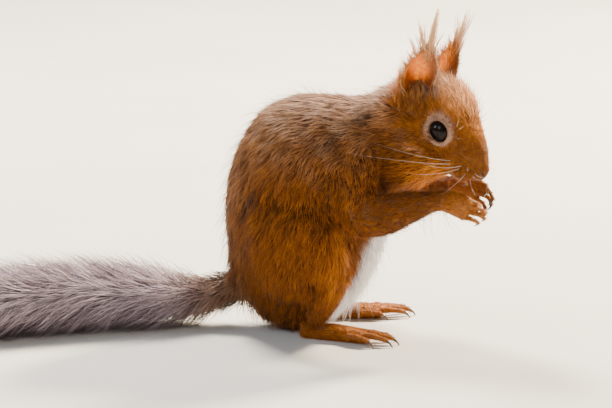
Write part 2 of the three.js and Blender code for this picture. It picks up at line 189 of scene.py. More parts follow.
HEAD_AT = np.array([71.4, -7.4, 99.4])
yaw, pitch = np.radians([-20.0, 40.0])
turn_yaw = np.array([[np.cos(yaw), -np.sin(yaw), 0], [np.sin(yaw), np.cos(yaw), 0], [0, 0, 1]])
turn_pitch = np.array(
    [[np.cos(pitch), 0, np.sin(pitch)], [0, 1, 0], [-np.sin(pitch), 0, np.cos(pitch)]]
)
HEAD_TURN = turn_yaw @ turn_pitch  # its columns are forward, left and up in the head


def from_head(points):
    """Body place of a head place: the head's turn times the point, plus the head's place."""
    return np.asarray(points, float) @ HEAD_TURN.T + HEAD_AT


def to_head(points):
    """Head place of a body place, the way back."""
    return (np.asarray(points, float) - HEAD_AT) @ HEAD_TURN


def head_rings(rows, count, depth, sides=48):
    """Rows of [forward, top, widest level, bottom, half width] in the head, drawn in as above."""
    x = row_at(rows, np.linspace(0, 1, count))
    depth = row_at(np.asarray(depth, float)[:, None], np.linspace(0, 1, count))
    mid = from_head(np.stack([x[:, 0], 0 * x[:, 0], x[:, 2]], 1))
    reach = np.stack([x[:, 1] - x[:, 2], x[:, 2] - x[:, 3], x[:, 4]], 1) - depth
    over, side = (np.tile(HEAD_TURN[:, k], (count, 1)) for k in (2, 1))
    return rings_of(mid, over, side, reach, sides)


# %% [markdown]
# ## The body's own numbers
# These are nearly the rows of the solids; only the muzzle is a little deeper here and the ears
# are rounder. The rows are kept apart from the code that turns them into rings, so that a limb's
# shape can be changed in one place.

# %% The body, neck and head
TRUNK = [
    [-22, 7, 14, 6, 0, 15],
    [-31, 19, 26, 17, 0, 23],
    [-35, 33, 34, 30, 0, 27],
    [-37, 57, 40, 46, 0, 29],
    [-33, 81, 43, 57, 0, 28],
    [-21, 102, 45, 65, 0, 25.5],
    [-4, 111, 47, 70, 0, 22],
    [13, 112, 50, 73, 0, 19],
    [27, 111, 53, 75, 0, 17],
]
NECK = [
    [18, 111, 50, 72, 0, 16.5],
    [32, 113, 55, 73, -0.5, 16.5],
    [45, 117, 60, 75, -2.5, 16.5],
    [59, 119, 66, 79, -5, 14.5],
]
SKULL = [
    [25.8, -1.9, -5.8, -10.8, 3.3],
    [23.5, 0.5, -6.4, -12.9, 4.7],
    [19.5, 4, -6.6, -14.2, 6.6],
    [13.5, 7.9, -6, -14.4, 9.1],
    [7, 11, -5.5, -15.5, 12.2],
    [-1, 13.6, -5.4, -17.5, 14.8],
    [-9, 14.6, -5, -18.6, 15.8],
    [-17, 12.4, -4.4, -18, 15.2],
    [-24, 7.6, -4, -15, 12.4],
]
THROAT = [
    [40, -3, 80, 9, 13],
    [52, -5, 80, 9.5, 11.5],
    [64, -8, 82, 8.5, 9],
    [74, -10.5, 84, 6, 6.5],
]
JAW = [
    [19, -12, -14, -16.3, 2.8],
    [14, -11, -14, -17.8, 4.6],
    [6, -10, -14, -19.2, 7.4],
    [-4, -8, -13, -20.2, 10.4],
    [-13, -8, -12, -19.6, 11.8],
]

# %% The limbs and the tail
UPPER_ARM = [
    [30, 13, 86, 11, 8],
    [30, 19, 76, 13, 9],
    [28.5, 23, 65, 11.5, 8.5],
    [29, 24.5, 57.5, 9.5, 7.5],
]
FORE_RIGHT = [
    [31, -24.5, 57.5, 9.5, 7.5],
    [42, -24, 60, 11, 8],
    [54, -23, 64, 9.2, 6.6],
    [64, -21.5, 66.6, 6.8, 5.2],
    [70, -20.5, 67.5, 5.4, 4.5],
]
FORE_LEFT = [
    [32, 23.5, 59, 9.5, 7.5],
    [44, 20, 62, 10, 7.6],
    [56, 13.5, 66, 8, 6.2],
    [66, 7, 69, 6, 5],
    [71.5, 3, 70, 5, 4.3],
]
PALM_RIGHT = [[69, -20.7, 67.2, 5, 4.2], [74, -20, 66, 5.8, 3.6], [79, -18.8, 63.6, 6, 3.1]]
PALM_LEFT = [[70.7, 3.6, 69.9, 4.6, 4], [76, 0.6, 70, 5.2, 3.5], [81, -2.2, 69, 5.2, 3.0]]
THIGH = [
    [-13, 16, 43, 21, 13],
    [-6, 19.5, 43, 26.5, 16],
    [5, 22.5, 41, 26, 15.5],
    [14.5, 24.5, 38, 20.5, 12.5],
    [20, 25.5, 36.5, 15.5, 10],
]
SHANK = [
    [18, 24.5, 33, 12, 9],
    [15.5, 24, 23, 11, 8.4],
    [12.5, 23, 14, 8.6, 7],
    [9.5, 22.3, 8, 6, 5.6],
]
METATARSUS = [[0, 3.1, 3.8, 3.4], [8, 3.3, 4.3, 4], [18, 3.1, 4, 4.6], [27, 2.7, 3.4, 5.4]]
TAIL = [
    [-22, 0, 24, 8.5, 9],
    [-34, 0, 17, 9.5, 11],
    [-50, -2, 13, 12.4, 15],
    [-72, -8, 14.6, 14.9, 21],
    [-98, -18, 16, 16.5, 25],
    [-126, -32, 16.2, 16.7, 26],
    [-152, -49, 14.6, 15, 23.5],
    [-174, -67, 11.5, 11.8, 17.5],
    [-189, -81, 7.5, 7.8, 10],
]
EYE_AT = np.array([0.3, 9.9, -0.4])
EYE_RADIUS = 5.8
print("rows in all:", sum(map(len, (TRUNK, NECK, SKULL, JAW, UPPER_ARM, THIGH, SHANK, TAIL))))

# %% [markdown]
# ## Fingers, toes and claws
# A digit is a short limb that bends at each joint about one axis. It is thickest at its joints
# and slimmer between them. The claw goes on from its tip, bends further and narrows to a point.
# Working it out joint by joint keeps each finger's curl in one list of angles.

# %% A digit
CLAW_LENGTH = 4.2


def turned(v, axis, degrees):
    """Rodrigues' turn: v cos a + (axis x v) sin a + axis (axis . v)(1 - cos a)."""
    a = np.radians(degrees)
    return v * np.cos(a) + np.cross(axis, v) * np.sin(a) + axis * (axis @ v) * (1 - np.cos(a))


def digit(at, way, axis, bends, length, thick, claw_bend):
    """Rows of a digit's flesh and of its claw, worked out joint by joint."""
    point, way, axis = np.array(at, float), unit(np.array(way, float)), unit(np.array(axis, float))
    flesh, step = [], length / len(bends)
    for i, bend in enumerate(bends):
        radius = thick * (1 - 0.12 * i)
        way = turned(way, axis, bend)
        flesh.append([*point, radius, radius])
        flesh.append([*(point + way * step * 0.5), radius * 0.86, radius * 0.86])
        point = point + way * step
    flesh.append([*point, thick * 0.72, thick * 0.72])
    claw = [[*(point - way * 0.4), thick * 0.5, thick * 0.4]]
    for share in (0.5, 1.0):
        way = turned(way, axis, claw_bend)
        point = point + way * CLAW_LENGTH * 0.62
        claw.append([*point, thick * 0.45 + (0.22 - thick * 0.45) * share, 0.36 - 0.16 * share])
    return flesh, claw, axis


# %% The four paws
def forepaw(palm, way, axis, bends, reach, out, thumb_side):
    """Four fingers in a fan from the palm's end, and a short thumb."""
    x, y, z = palm[-1][:3]
    digits = [
        digit(
            [x - 0.5 + reach[i], y + out * (i - 1.5) * 0.3, z + 4.1 - i * 2.75],
            way, axis, bends, length, 1.65, 28,
        )
        for i, length in enumerate([9.5, 11.5, 11, 9])
    ]
    thumb_way = [0.85, thumb_side * 0.3, 0.2]
    thumb = digit([x - 5, y + thumb_side, z + 3.4], thumb_way, axis, [10, 20, 20], 4.5, 1.3, 20)
    return digits + [thumb]


STANCE = {-1: ([5, 16.5], 10.0), 1: ([6, 19], 20.0)}  # side: heel forward and out, splay


def foot_place(s):
    """The foot's way, the way out of it, and a function from (along, out, up) to the body."""
    (forward, out), splay = STANCE[s]
    a = np.radians(splay)
    way = np.array([np.cos(a), s * np.sin(a), 0])
    across = np.array([-np.sin(a), s * np.cos(a), 0])
    heel = np.array([forward, out * s, 0])

    def at(along, sideways, up):
        return heel + along * way + sideways * across + [0, 0, up]

    return way, across, at


TOES = [  # length, place across the foot, place along it, fan in degrees
    [9.5, -5.6, -8, -16],
    [14, -3.4, -1.5, -8],
    [16, -0.4, 0, 0],
    [15.5, 2.6, -0.6, 9],
    [12, 5.4, -4, 20],
]


def hind_toes(s):
    """Five toes fanned over the end of the foot."""
    way, across, at = foot_place(s)
    up = np.array([0, 0, 1.0])
    return [
        digit(
            at(26 + back, root * 0.85, 3.1),
            turned(way, up, fan * s) + 0.2 * up, across * s, [4, 14], length, 1.9, 22,
        )
        for length, root, back, fan in TOES
    ]


RIGHT_FINGERS = forepaw(
    PALM_RIGHT, [0.93, 0.1, -0.18], [0.1, 0.5, 0.86], [0, 22, 34], [-0.5, 0.6, 0.4, -1], 1, 2.4
)
LEFT_FINGERS = forepaw(
    PALM_LEFT, [0.95, -0.05, -0.12], [-0.1, 0.55, -0.83], [4, 22, 32], [0, 0.8, 0.5, -0.8], -1, -2.2
)
ALL_DIGITS = RIGHT_FINGERS + LEFT_FINGERS + hind_toes(-1) + hind_toes(1)
print(len(ALL_DIGITS), "digits")

# %% [markdown]
# ## Ears
# An ear is a thin cup, open to the side and a little forward. Each level of it is a crescent: an
# outer arc, and the same arc drawn in by the wall and walked back the other way. The arc wraps
# far round at the foot, which makes the ear's tube, and opens out towards the tip. A bent sheet
# with a thickness would do too, but crescents give the ear's rolled edges at once.

# %% The ear's crescents
EAR_AT = np.array([-18.4, 11.4, 3.5])
EAR_HEIGHT = 21.8
EAR_WALL = 1.15
EAR_LEVELS = [  # half width, depth, half of the arc in degrees, lean of the tip forwards
    [5.6, 5.0, 128, -0.5],
    [7.0, 4.8, 118, -0.5],
    [7.3, 4.1, 108, -0.2],
    [6.9, 3.1, 98, 0.5],
    [5.4, 2.2, 90, 1.3],
    [2.9, 1.5, 84, 2.3],
]


def ear_frame(s):
    """Up, facing and forward-across of an ear, in the head, square to each other."""
    up = unit(np.array([-0.47 + 0.05 * s, 0.1 * s, 0.86]))
    facing = np.array([0.42, 0.88 * s, 0.12])
    facing = unit(facing - up * (up @ facing))
    return up, facing, np.cross(up, facing) * -s


def ear_rings(s, count=26, steps=17):
    """foot + up * height * t + across * (half * sin a + lean) - facing * depth * cos a, out along
    the arc and back along the same arc less the wall."""
    up, facing, across = ear_frame(s)
    t = np.linspace(-0.24, 1, count)
    half, depth, arc, lean = row_at(EAR_LEVELS, np.maximum(t, 0)).T[..., None]
    a = np.radians(arc) * np.linspace(-1, 1, steps)
    out = np.concatenate([np.sin(a) * half, (np.sin(a) * (half - EAR_WALL))[:, ::-1]], 1)
    back = np.concatenate([np.cos(a) * depth, (np.cos(a) * (depth - EAR_WALL * 0.9))[:, ::-1]], 1)
    foot = EAR_AT * [1, s, 1] + up * (EAR_HEIGHT - 1.0) * t[:, None]
    rings = foot[:, None] + across * (out + lean)[..., None] - facing * back[..., None]
    return from_head(rings)


# %% [markdown]
# ## One skin
# Skin has no seams, so the lofts of flesh are joined into one mesh and remeshed on a fine grid of
# cubes, which melts them together. After that the folds between the parts are relaxed, more on
# the trunk and less on the head, and not at all on the fingers. Each loft also leaves guides
# behind: points on its surface that say which way the coat lies there and how long and how dense
# it is.

# %% The parts along the middle, with their coats
LIE_BACK, LIE_ON = -1, 1  # the coat lies towards the first or the last station
parts = []


def part(name, rings, lie, length, lift, cover, soft, domes=(1.0, 1.0)):
    """A closed part of the flesh: its rings, which way its coat lies, the hairs' length in mm,
    their lift in degrees, tufts per square mm, and how far its folds are relaxed."""
    coat_here = (length, lift, cover, soft)
    parts.append(dict(name=name, rings=domed(rings, domes), lie=lie, coat=coat_here))


part("trunk", upright_rings(TRUNK, 40, 3.6), LIE_BACK, 10.0, 11, 2.0, 1.0, (2.5, 2.5))
part("neck", upright_rings(NECK, 16, 3.2), LIE_BACK, 7.5, 14, 2.8, 0.9, (0.5, 0.5))
skull_rings = head_rings(SKULL, 34, [0.5, 0.5, 0.8, 1.4, 2.4])
part("head", skull_rings, LIE_ON, 3.0, 12, 6.5, 0.25, (1.7, 5))
part("jaw", head_rings(JAW, 18, [0.4, 0.8, 1.6]), LIE_ON, 3.0, 14, 6.5, 0.25, (1.5, 3))
part("throat", limb_rings(THROAT, 14, 2.0), LIE_BACK, 6.5, 20, 2.6, 0.9, (4, 3))
print(len(parts), "parts along the middle")

# %% [markdown]
# Most of the tail's width is hair. Its flesh is a thin core, a little wider where it leaves the
# body, and the long tufts make up the rest.

# %% The tail's core
TAIL_RINGS = 60
tail_rings = limb_rings(TAIL, TAIL_RINGS, 0, 36)
core = tail_rings.mean(1, keepdims=True)
share = 0.45 + 0.4 * np.exp(-((np.arange(TAIL_RINGS) / 7.0) ** 2))[:, None, None]
part("tail", core + (tail_rings - core) * share, LIE_ON, 20.5, 37, 1.8, 1.0, (2, 3))

# %% Legs, arms, feet, ears and whisker pads of both sides
DOWN_THE_THIGH = (-0.15, 0, -1)
for s in (-1, 1):
    side = np.array([1, s, 1, 1, 1])
    thigh_rings = limb_rings(THIGH * side, 16, 3.4, 40)
    part("thigh", thigh_rings, DOWN_THE_THIGH, 10.0, 10, 2.1, 1.0, (10, 5))
    inner = (STANCE[s][0][1] - 19) * np.arange(4)[:, None] / 3 * [0, 1, 0, 0, 0]
    part("shank", limb_rings((SHANK + inner) * side, 12, 2.2), LIE_ON, 4.5, 12, 2.2, 0.9, (3, 2))
    arm_rings = limb_rings(UPPER_ARM * side, 14, 2.6, 36)
    part("upper_arm", arm_rings, LIE_ON, 6.0, 13, 2.2, 1.0, (3, 3.5))
    fore, palm = (FORE_RIGHT, PALM_RIGHT) if s < 0 else (FORE_LEFT, PALM_LEFT)
    part("forearm", limb_rings(fore, 22, [[1.7]]), LIE_ON, 4.6, 13, 2.6, 0.8, (3.5, 1))
    part("palm", limb_rings(palm, 10, 0.4), LIE_ON, 2.0, 16, 6.5, 0.15, (2, 1.6))
    way, across, at = foot_place(s)
    rows = [[*at(d, 0, z), deep - 0.35, wide - 0.35] for d, z, deep, wide in METATARSUS]
    part("foot", limb_rings(rows, 16, 0, 28, across), LIE_ON, 3.2, 18, 6.2, 0.15, (2.2, 1.8))
    part("ear", ear_rings(s), LIE_ON, 2.2, 14, 4.5, 0.05, (0.3, 0.5))
    up, facing, across = ear_frame(s)
    root = EAR_AT * [1, s, 1] + up * np.array([[-8], [-4], [-1], [2]]) - facing * 0.9
    rows = np.c_[from_head(root), [7, 6.4, 5.4, 3.2], [7.4, 7.6, 7.0, 5.0]]
    part("ear_root", limb_rings(rows, 12, 0, 28, HEAD_TURN @ across), LIE_ON, 3.6, 20, 5.0, 0.25)
    pad = [[13, -6.5, -8.6, -10.6, 1], [19.5, -5, -8.8, -12.6, 3], [24, -6.4, -8.8, -10.6, 1.6]]
    pad = head_rings(pad, 9, [0.3], 20) + HEAD_TURN[:, 1] * 3.9 * s
    part("whisker_pad", pad, LIE_BACK, 1.7, 14, 9.5, 0.3, (0.4, 0.4))
for flesh, claw, axis in ALL_DIGITS:
    part("digit", limb_rings(flesh, 16, 0.3, 14, axis), LIE_ON, 1.9, 17, 6.4, 0.0, (0.6, 1.1))
print(len(parts), "parts of flesh")


# %% Meshes from arrays
def mesh_of(name, points, *face_sets):
    """A mesh object from places in metres and arrays of three- or four-cornered faces."""
    mesh = bpy.data.meshes.new(name)
    mesh.vertices.add(len(points))
    mesh.vertices.foreach_set("co", np.asarray(points, np.float32).ravel())
    corners = np.concatenate([f.ravel() for f in face_sets]).astype(np.int32)
    sizes = np.concatenate([np.full(len(f), f.shape[1]) for f in face_sets])
    mesh.loops.add(len(corners))
    mesh.loops.foreach_set("vertex_index", corners)
    mesh.polygons.add(len(sizes))
    starts = np.concatenate([[0], np.cumsum(sizes)[:-1]]).astype(np.int32)
    mesh.polygons.foreach_set("loop_start", starts)
    mesh.update(calc_edges=True)
    piece = bpy.data.objects.new(name, mesh)
    bpy.context.scene.collection.objects.link(piece)
    return piece


def join_parts(rings_list):
    """Many closed lofts in one array of points, one of quads and one of triangles."""
    points, quads, tris, start = [], [], [], 0
    for rings in rings_list:
        q, t = closed_faces(rings.shape[:2])
        points += [rings.reshape(-1, 3), rings[0].mean(0)[None], rings[-1].mean(0)[None]]
        quads.append(q + start)
        tris.append(t + start)
        start += len(rings) * rings.shape[1] + 2
    return np.concatenate(points), np.concatenate(quads), np.concatenate(tris)


def finished_mesh(piece):
    """Swaps a piece's mesh for the one its modifiers make."""
    depsgraph = bpy.context.evaluated_depsgraph_get()
    mesh = bpy.data.meshes.new_from_object(piece.evaluated_get(depsgraph))
    piece.modifiers.clear()
    piece.data = mesh
    return mesh


def read(items, name, width, kind=np.float32):
    """One array of a mesh's numbers."""
    values = np.empty(len(items) * width, kind)
    items.foreach_get(name, values)
    return values.reshape(-1, width) if width > 1 else values


# %% Melt them together
VOXEL = 0.00052  # metres, fine enough for the fingers
points, quads, tris = join_parts([p["rings"] for p in parts])
skin = mesh_of("skin", place(points), quads, tris)
melt = skin.modifiers.new("melt", "REMESH")
melt.mode = "VOXEL"
melt.voxel_size = VOXEL
finished_mesh(skin)
print("melted skin:", len(skin.data.polygons), "faces in", round(time.time() - began, 1), "s")

# %% [markdown]
# ## Guides for the coat
# A hair lies along its limb, away from the nose and towards the tail or the toes. Each guide
# carries that direction and the coat's numbers. A point of the skin takes the mean of the guides
# round it, weighted by the sixth power of their nearness, so one part's coat runs smoothly into
# the next.

# %% Guides from the lofts
guide_at, guide_lie, guide_coat, guide_part = [], [], [], []
for number, p in enumerate(parts):
    rings = p["rings"]
    if isinstance(p["lie"], tuple):
        lie = np.broadcast_to(unit(np.array(p["lie"], float)), rings.shape)
    else:
        lie = unit(np.gradient(rings, axis=0)) * p["lie"]
    many = 4 if p["name"] == "digit" else 9
    step = max(1, len(rings) // many), max(1, rings.shape[1] // many)
    few = (slice(step[0] // 2, None, step[0]), slice(None, None, step[1]))
    guide_at.append(rings[few].reshape(-1, 3))
    guide_lie.append(lie[few].reshape(-1, 3))
    guide_coat.append(np.tile(p["coat"], (len(guide_at[-1]), 1)))
    guide_part.append(np.full(len(guide_at[-1]), number))
guide_at, guide_part = np.concatenate(guide_at), np.concatenate(guide_part)
guide_values = np.concatenate([np.concatenate(guide_lie), np.concatenate(guide_coat)], 1)
print(len(guide_at), "guides")


BLOCK = 8000  # points weighed at a time, to spare memory
NEAR = 0.3  # square mm added to each distance, so that no weight is endless


def from_guides(points):
    """Guides' values at points, weights 1 / (distance^2 + NEAR)^3, and the nearest guide's part."""
    values, nearest = [], []
    for block in np.array_split(np.asarray(points, np.float32), max(1, len(points) // BLOCK)):
        g = guide_at.astype(np.float32)
        square = (block**2).sum(1)[:, None] + (g**2).sum(1) - 2 * block @ g.T
        weight = 1 / (np.maximum(square, 0) + NEAR)
        weight = weight * weight * weight
        values.append(weight @ guide_values.astype(np.float32) / weight.sum(1, keepdims=True))
        nearest.append(guide_part[weight.argmax(1)])
    return np.concatenate(values), np.concatenate(nearest)


# %% Relaxing and normals, on whole arrays
def relaxed(points, edges, rounds, strength):
    """Each point goes a share of the way to the mean of its neighbours, again and again."""
    a, b = edges.T
    count = np.bincount(np.r_[a, b], minlength=len(points))[:, None]
    n = len(points)
    for _ in range(rounds):
        sums = [np.bincount(a, p[b], n) + np.bincount(b, p[a], n) for p in points.T]
        points = points + strength * (np.stack(sums, 1) / count - points)
    return points


def normals_of(points, faces):
    """Point normals: the faces' area vectors, from their diagonals, summed at each corner."""
    diagonal = points[faces[:, 2]] - points[faces[:, 0]]
    flat = np.cross(diagonal, points[faces[:, -1]] - points[faces[:, 1]])
    corners = faces.ravel()
    spread = np.repeat(flat, faces.shape[1], 0)
    return unit(np.stack([np.bincount(corners, spread[:, k], len(points)) for k in range(3)], 1))


def smooth(low, high, x):
    """3t^2 - 2t^3 of the share of the way from low to high."""
    t = np.clip((x - low) / (high - low), 0, 1)
    return t * t * (3 - 2 * t)


# %% Relax the folds
flesh = read(skin.data.vertices, "co", 3).astype(float) / MM - BODY_TO_FRAME
edges = read(skin.data.edges, "vertices", 2, np.int32)
quad = read(skin.data.loops, "vertex_index", 1, np.int32).reshape(-1, 4)
CELL = 2.5  # mm; softness is the same all over a cell of this size, which saves time
cells, cell_of = np.unique(np.round(flesh / CELL), axis=0, return_inverse=True)
softness = from_guides(cells * CELL)[0][cell_of.ravel(), 6:7]
flesh = relaxed(flesh, edges, 4, 0.5 * np.minimum(1, softness * 3 + 0.25))
flesh = relaxed(flesh, edges, 150, 0.5 * softness**2)
flesh = relaxed(flesh, edges, 200, 0.5 * smooth(0.93, 1.0, softness))
print("relaxed in", round(time.time() - began, 1), "s")

# %% [markdown]
# ## The face
# The face is pushed into shape in the head's own frame. Round each eye the skin comes out to the
# ball as a soft ring and drops away inside it; the nose gets its two nostrils, and the mouth is a
# fold that runs back under the whisker pads.

# %% Sculpt the face
NOSTRIL_AT = [26.4, 1.85, -5.2]


def blob(place_of, middle, size, sharp=1.0):
    """e to the power of -sharp * the sum of ((place - middle) / size)^2."""
    return np.exp(-sum(((p - m) / r) ** 2 for p, m, r in zip(place_of, middle, size)) * sharp)


def sculpt_face(points, normals):
    """Skin pushed to a ring round each eye, and in along the nostrils, lip and mouth."""
    h = to_head(points)
    u, v, w = h[:, 0], np.abs(h[:, 1]), h[:, 2]
    side = np.sign(h[:, 1])
    du, dw = u - EYE_AT[0], w - EYE_AT[2]
    corner = np.maximum(0, (du * 0.75 - dw * 0.66) / np.maximum(np.hypot(du, dw), 1e-6)) ** 6
    r = np.hypot(0.9 * du, dw) - 0.75 * corner
    near = (v > 7.5) & (r < 10)
    ring = EYE_AT[1] + 4.2 - 0.6 * smooth(4.6, 7, r)
    hole = 5.0 * (1 - smooth(3.7, 4.4, r))
    pull = (1 - smooth(5.0, 8.6, r)) * near
    v = v + pull * (ring - hole - v)
    h[:, 1] = side * v
    points = from_head(h)
    nostril = blob([u, v, w], NOSTRIL_AT, [1.6, 0.7, 1.0], 1.2)
    line = -11.4 - 0.12 * (24 - u) - 0.010 * (24 - u) ** 2
    mouth = np.exp(-(((w - line) / 0.55) ** 2)) * smooth(8.5, 12, u)
    cleft = np.exp(-((v / 0.45) ** 2)) * smooth(23.5, 25, u)
    cleft = cleft * smooth(-11.5, -10.5, w) * (1 - smooth(-7, -6, w))
    push = 2.2 * nostril + 0.8 * mouth + 0.45 * cleft
    return points - normals * push[:, None]


flesh = sculpt_face(flesh, normals_of(flesh, quad))
flesh[:, 2] = np.maximum(flesh[:, 2], 0.12)
skin.data.vertices.foreach_set("co", place(flesh).astype(np.float32).ravel())
skin.data.update()

# %% [markdown]
# The fine grid is needed on the face, ears and fingers only. Elsewhere the skin is thinned by
# collapsing short edges until the whole piece is light enough, with the fine parts held back.

# %% Thin the skin
KEPT_SHARE = 0.3
LEVELS = 4
coarse = skin.vertex_groups.new(name="coarse")
coarse_share = np.clip(softness[:, 0], 0, 1) ** 0.5
for level in range(1, LEVELS + 1):
    chosen = np.flatnonzero(np.round(coarse_share * LEVELS) == level)
    coarse.add(chosen.tolist(), level / LEVELS, "REPLACE")
thin = skin.modifiers.new("thin", "DECIMATE")
thin.ratio = KEPT_SHARE
thin.vertex_group = "coarse"
thin.use_collapse_triangulate = True
finished_mesh(skin)
skin.vertex_groups.clear()
print("thinned to", len(skin.data.polygons), "faces in", round(time.time() - began, 1), "s")

# %% [markdown]
# ## The skin's own map and markings
# The skin is unwrapped by its own shape, and every tuft later takes its place on that map from the
# point where it grows. The markings could be painted, but here they are worked out from where a
# point lies on the animal, so skin and coat agree. Each is a mask from 0 to 1: white for the belly,
# gold for the throat, the paws and what the sun shines through, grey for the back, crown and tail,
# and dark for the nose, the lids, the ear's edge and the tail's underside. Some of them are painted
# light and shade: the throat's gold stands for sun through its hair, white and gold on the top of
# the back are a painted highlight, the back's grey is partly a painted sheen of the sky, and dark
# streaks are painted shade in the folds of the loose skin.

# %% Unwrap the skin
bpy.context.view_layer.objects.active = skin
skin.select_set(True)
bpy.ops.object.mode_set(mode="EDIT")
bpy.ops.mesh.select_all(action="SELECT")
bpy.ops.uv.smart_project(angle_limit=np.radians(66), island_margin=0.002)
bpy.ops.object.mode_set(mode="OBJECT")
skin.data.uv_layers[0].name = "skin_map"
bare = read(skin.data.vertices, "co", 3).astype(float) / MM - BODY_TO_FRAME
corner_point = read(skin.data.loops, "vertex_index", 1, np.int32)
triangles = corner_point.reshape(-1, 3)
corner_map = read(skin.data.uv_layers[0].uv, "vector", 2).reshape(-1, 3, 2)
bare_normals = normals_of(bare, triangles)
values, nearest_part = from_guides(bare)
print("unwrapped in", round(time.time() - began, 1), "s")

# %% Helpers for places on the animal
PART_NAMES = np.array([p["name"] for p in parts])
part_here = PART_NAMES[nearest_part]


def ripple(points, size, seed):
    """A soft random value from -1 to 1: the mean of five sine waves in random directions."""
    r = np.random.default_rng(seed)
    ways = unit(r.normal(size=(5, 3))) * 2 * np.pi / size * r.uniform(0.7, 1.4, (5, 1))
    return np.sin(points @ ways.T + r.uniform(0, 7, 5)).mean(1) * 1.6


def of(*names):
    """Where the skin belongs to one of these parts."""
    return np.isin(part_here, names)


def strongest(*masks):
    """The greatest of several masks at each point."""
    return np.maximum.reduce(masks)


def in_ear(points):
    """Height up the ear as a share of it, and place across it in mm."""
    h = to_head(points)
    result = np.empty((len(points), 2))
    for s in (-1, 1):
        some = np.sign(h[:, 1]) == s
        up, _, across = ear_frame(s)
        gap = h[some] - EAR_AT * [1, s, 1]
        result[some] = np.stack([gap @ up / EAR_HEIGHT, gap @ across], 1)
    return result.T


# %% Where each point lies
BELLY_LINE = np.array(
    [[8, 6], [20, 11], [30, 20], [37, 31], [42, 46], [45, 57], [47, 65], [51, 70]]
)
x, y, z = bare.T
h = to_head(bare)
u, v, w = h[:, 0], np.abs(h[:, 1]), h[:, 2]
facing_up = bare_normals[:, 2]
rough = ripple(bare, 9, 1)
ear_height, ear_across = in_ear(bare)
ear_facing = [HEAD_TURN @ ear_frame(s)[1] for s in (-1, 1)]
own_facing = np.where((h[:, 1] > 0)[:, None], ear_facing[1], ear_facing[0])
into_ear = (bare_normals * own_facing).sum(1)
ear_middle = np.exp(-(((ear_across + 0.6) / 4.0) ** 2 + ((ear_height - 0.5) / 0.36) ** 2))
inward = smooth(0.1, 0.8, -bare_normals[:, 1] * np.sign(y))
gap = bare[:, None, [0, 2]] - BELLY_LINE
belly = np.sqrt((gap**2).sum(2).min(1) + (0.62 * y) ** 2)
from_eye = np.hypot(0.9 * (u - EYE_AT[0]), w - EYE_AT[2]) + 20 * (v < 6)
ring = np.exp(-(((from_eye - 5.4) / 0.85) ** 2))
nose = blob([u, v, w], [27.4, 0, -6.6], [2.0, 2.8, 2.3])
nostril = blob([u, v, w], NOSTRIL_AT, [1.7, 0.6, 0.9], 1.2)
head, trunk = of("head", "jaw", "whisker_pad", "ear_root"), of("trunk", "neck")
limb, paw = of("thigh", "shank", "upper_arm", "forearm"), of("foot", "palm", "digit")
down_tail = smooth(-24, -58, x)
print("nose:", int((nose > 0.5).sum()), "points, eye ring:", int((ring * head > 0.5).sum()))

# %% White: the belly, with a little at the chin, the eye ring and the ear's front edge, and a painted highlight on the top of the back
white = (1 - smooth(10, 15, belly + rough * 1.2)) * np.where(limb, 0.5 * inward, 1)
white *= (1 - 0.97 * smooth(57, 67, z)) * smooth(9, 19, x)
# Lighter on the top of the back, where the coat faces up: a painted highlight, in white and gold.
top_highlight = smooth(0.1, 1.0, facing_up + 0.25 * rough) * smooth(88, 114, z + 3 * rough)
chin = (1 - smooth(-16, -12.5, w + rough * 0.6)) * (u > -18)
ear_front = smooth(2.0, 5.0, ear_across + 1.2 * rough) * smooth(-0.25, 0.0, ear_height)
face_white = strongest(0.12 * chin, 0.28 * ring, 0.2 * ear_front * of("ear_root"))
never_white = paw | of("tail", "ear", "throat")
white = np.select([head, never_white], [face_white, 0], strongest(white, 0.2 * top_highlight))
print("white points:", int((white > 0.5).sum()))

# %% Gold: jaw, front of the leg, edge of the belly, forehead and paws, and painted light on the throat, the ears and the top of the back
# The throat's gold is painted light: the sun shining through its hair.
throat = smooth(42, 60, x + 3 * rough) * smooth(90, 79, z + 2 * rough) * (trunk | of("throat"))
leg_front = np.exp(-(((x - 24) / 7) ** 2)) * of("thigh", "shank") * smooth(70, 50, z)
gold = strongest(
    throat,
    0.6 * (1 - smooth(-17, -8, w)) * (u > -20) * head,
    0.55 * leg_front,
    0.7 * (1 - smooth(14, 20, belly)) * (z > 58) * trunk,
    0.45 * ring * head,
    0.8 * of("ear") * smooth(0.1, 0.4, ear_height),
    0.5 * top_highlight * trunk,
    # the forehead is golden, more towards the top of the head, which is partly a painted highlight
    0.88 * head * smooth(1, 9, w + rough) * smooth(-14, -4, u),
    np.select([paw, head], [0.45, 0.12], 0),
)

# %% Grey: the back, the rump, the crown and the tail
# The back's grey is partly its own and partly a painted sheen of the sky, more where the coat faces
# up.
grey = 0.5 * smooth(70, 114, z + rough * 8 + 10 * facing_up)
grey *= 1 - 0.7 * smooth(28, 46, x + 3 * rough) * smooth(0.75, 0.2, facing_up)
grey = strongest(grey, 0.32 * smooth(-12, -28, x + 3 * rough))
crown = 0.42 * smooth(3, 13, w + 1.5 * rough) * (1 - smooth(4, 17, u))
crown *= 1 - 0.85 * of("ear_root")
crown = strongest(crown, 0.25 * smooth(-6, 8, w) * smooth(-8, -16, u)) * (1 - ring)
grey = np.select(
    [head, of("tail"), paw | of("ear"), limb],
    [crown, 0.5 + 0.42 * down_tail, 0, 0.35 * grey],
    grey * (1 - white),
)

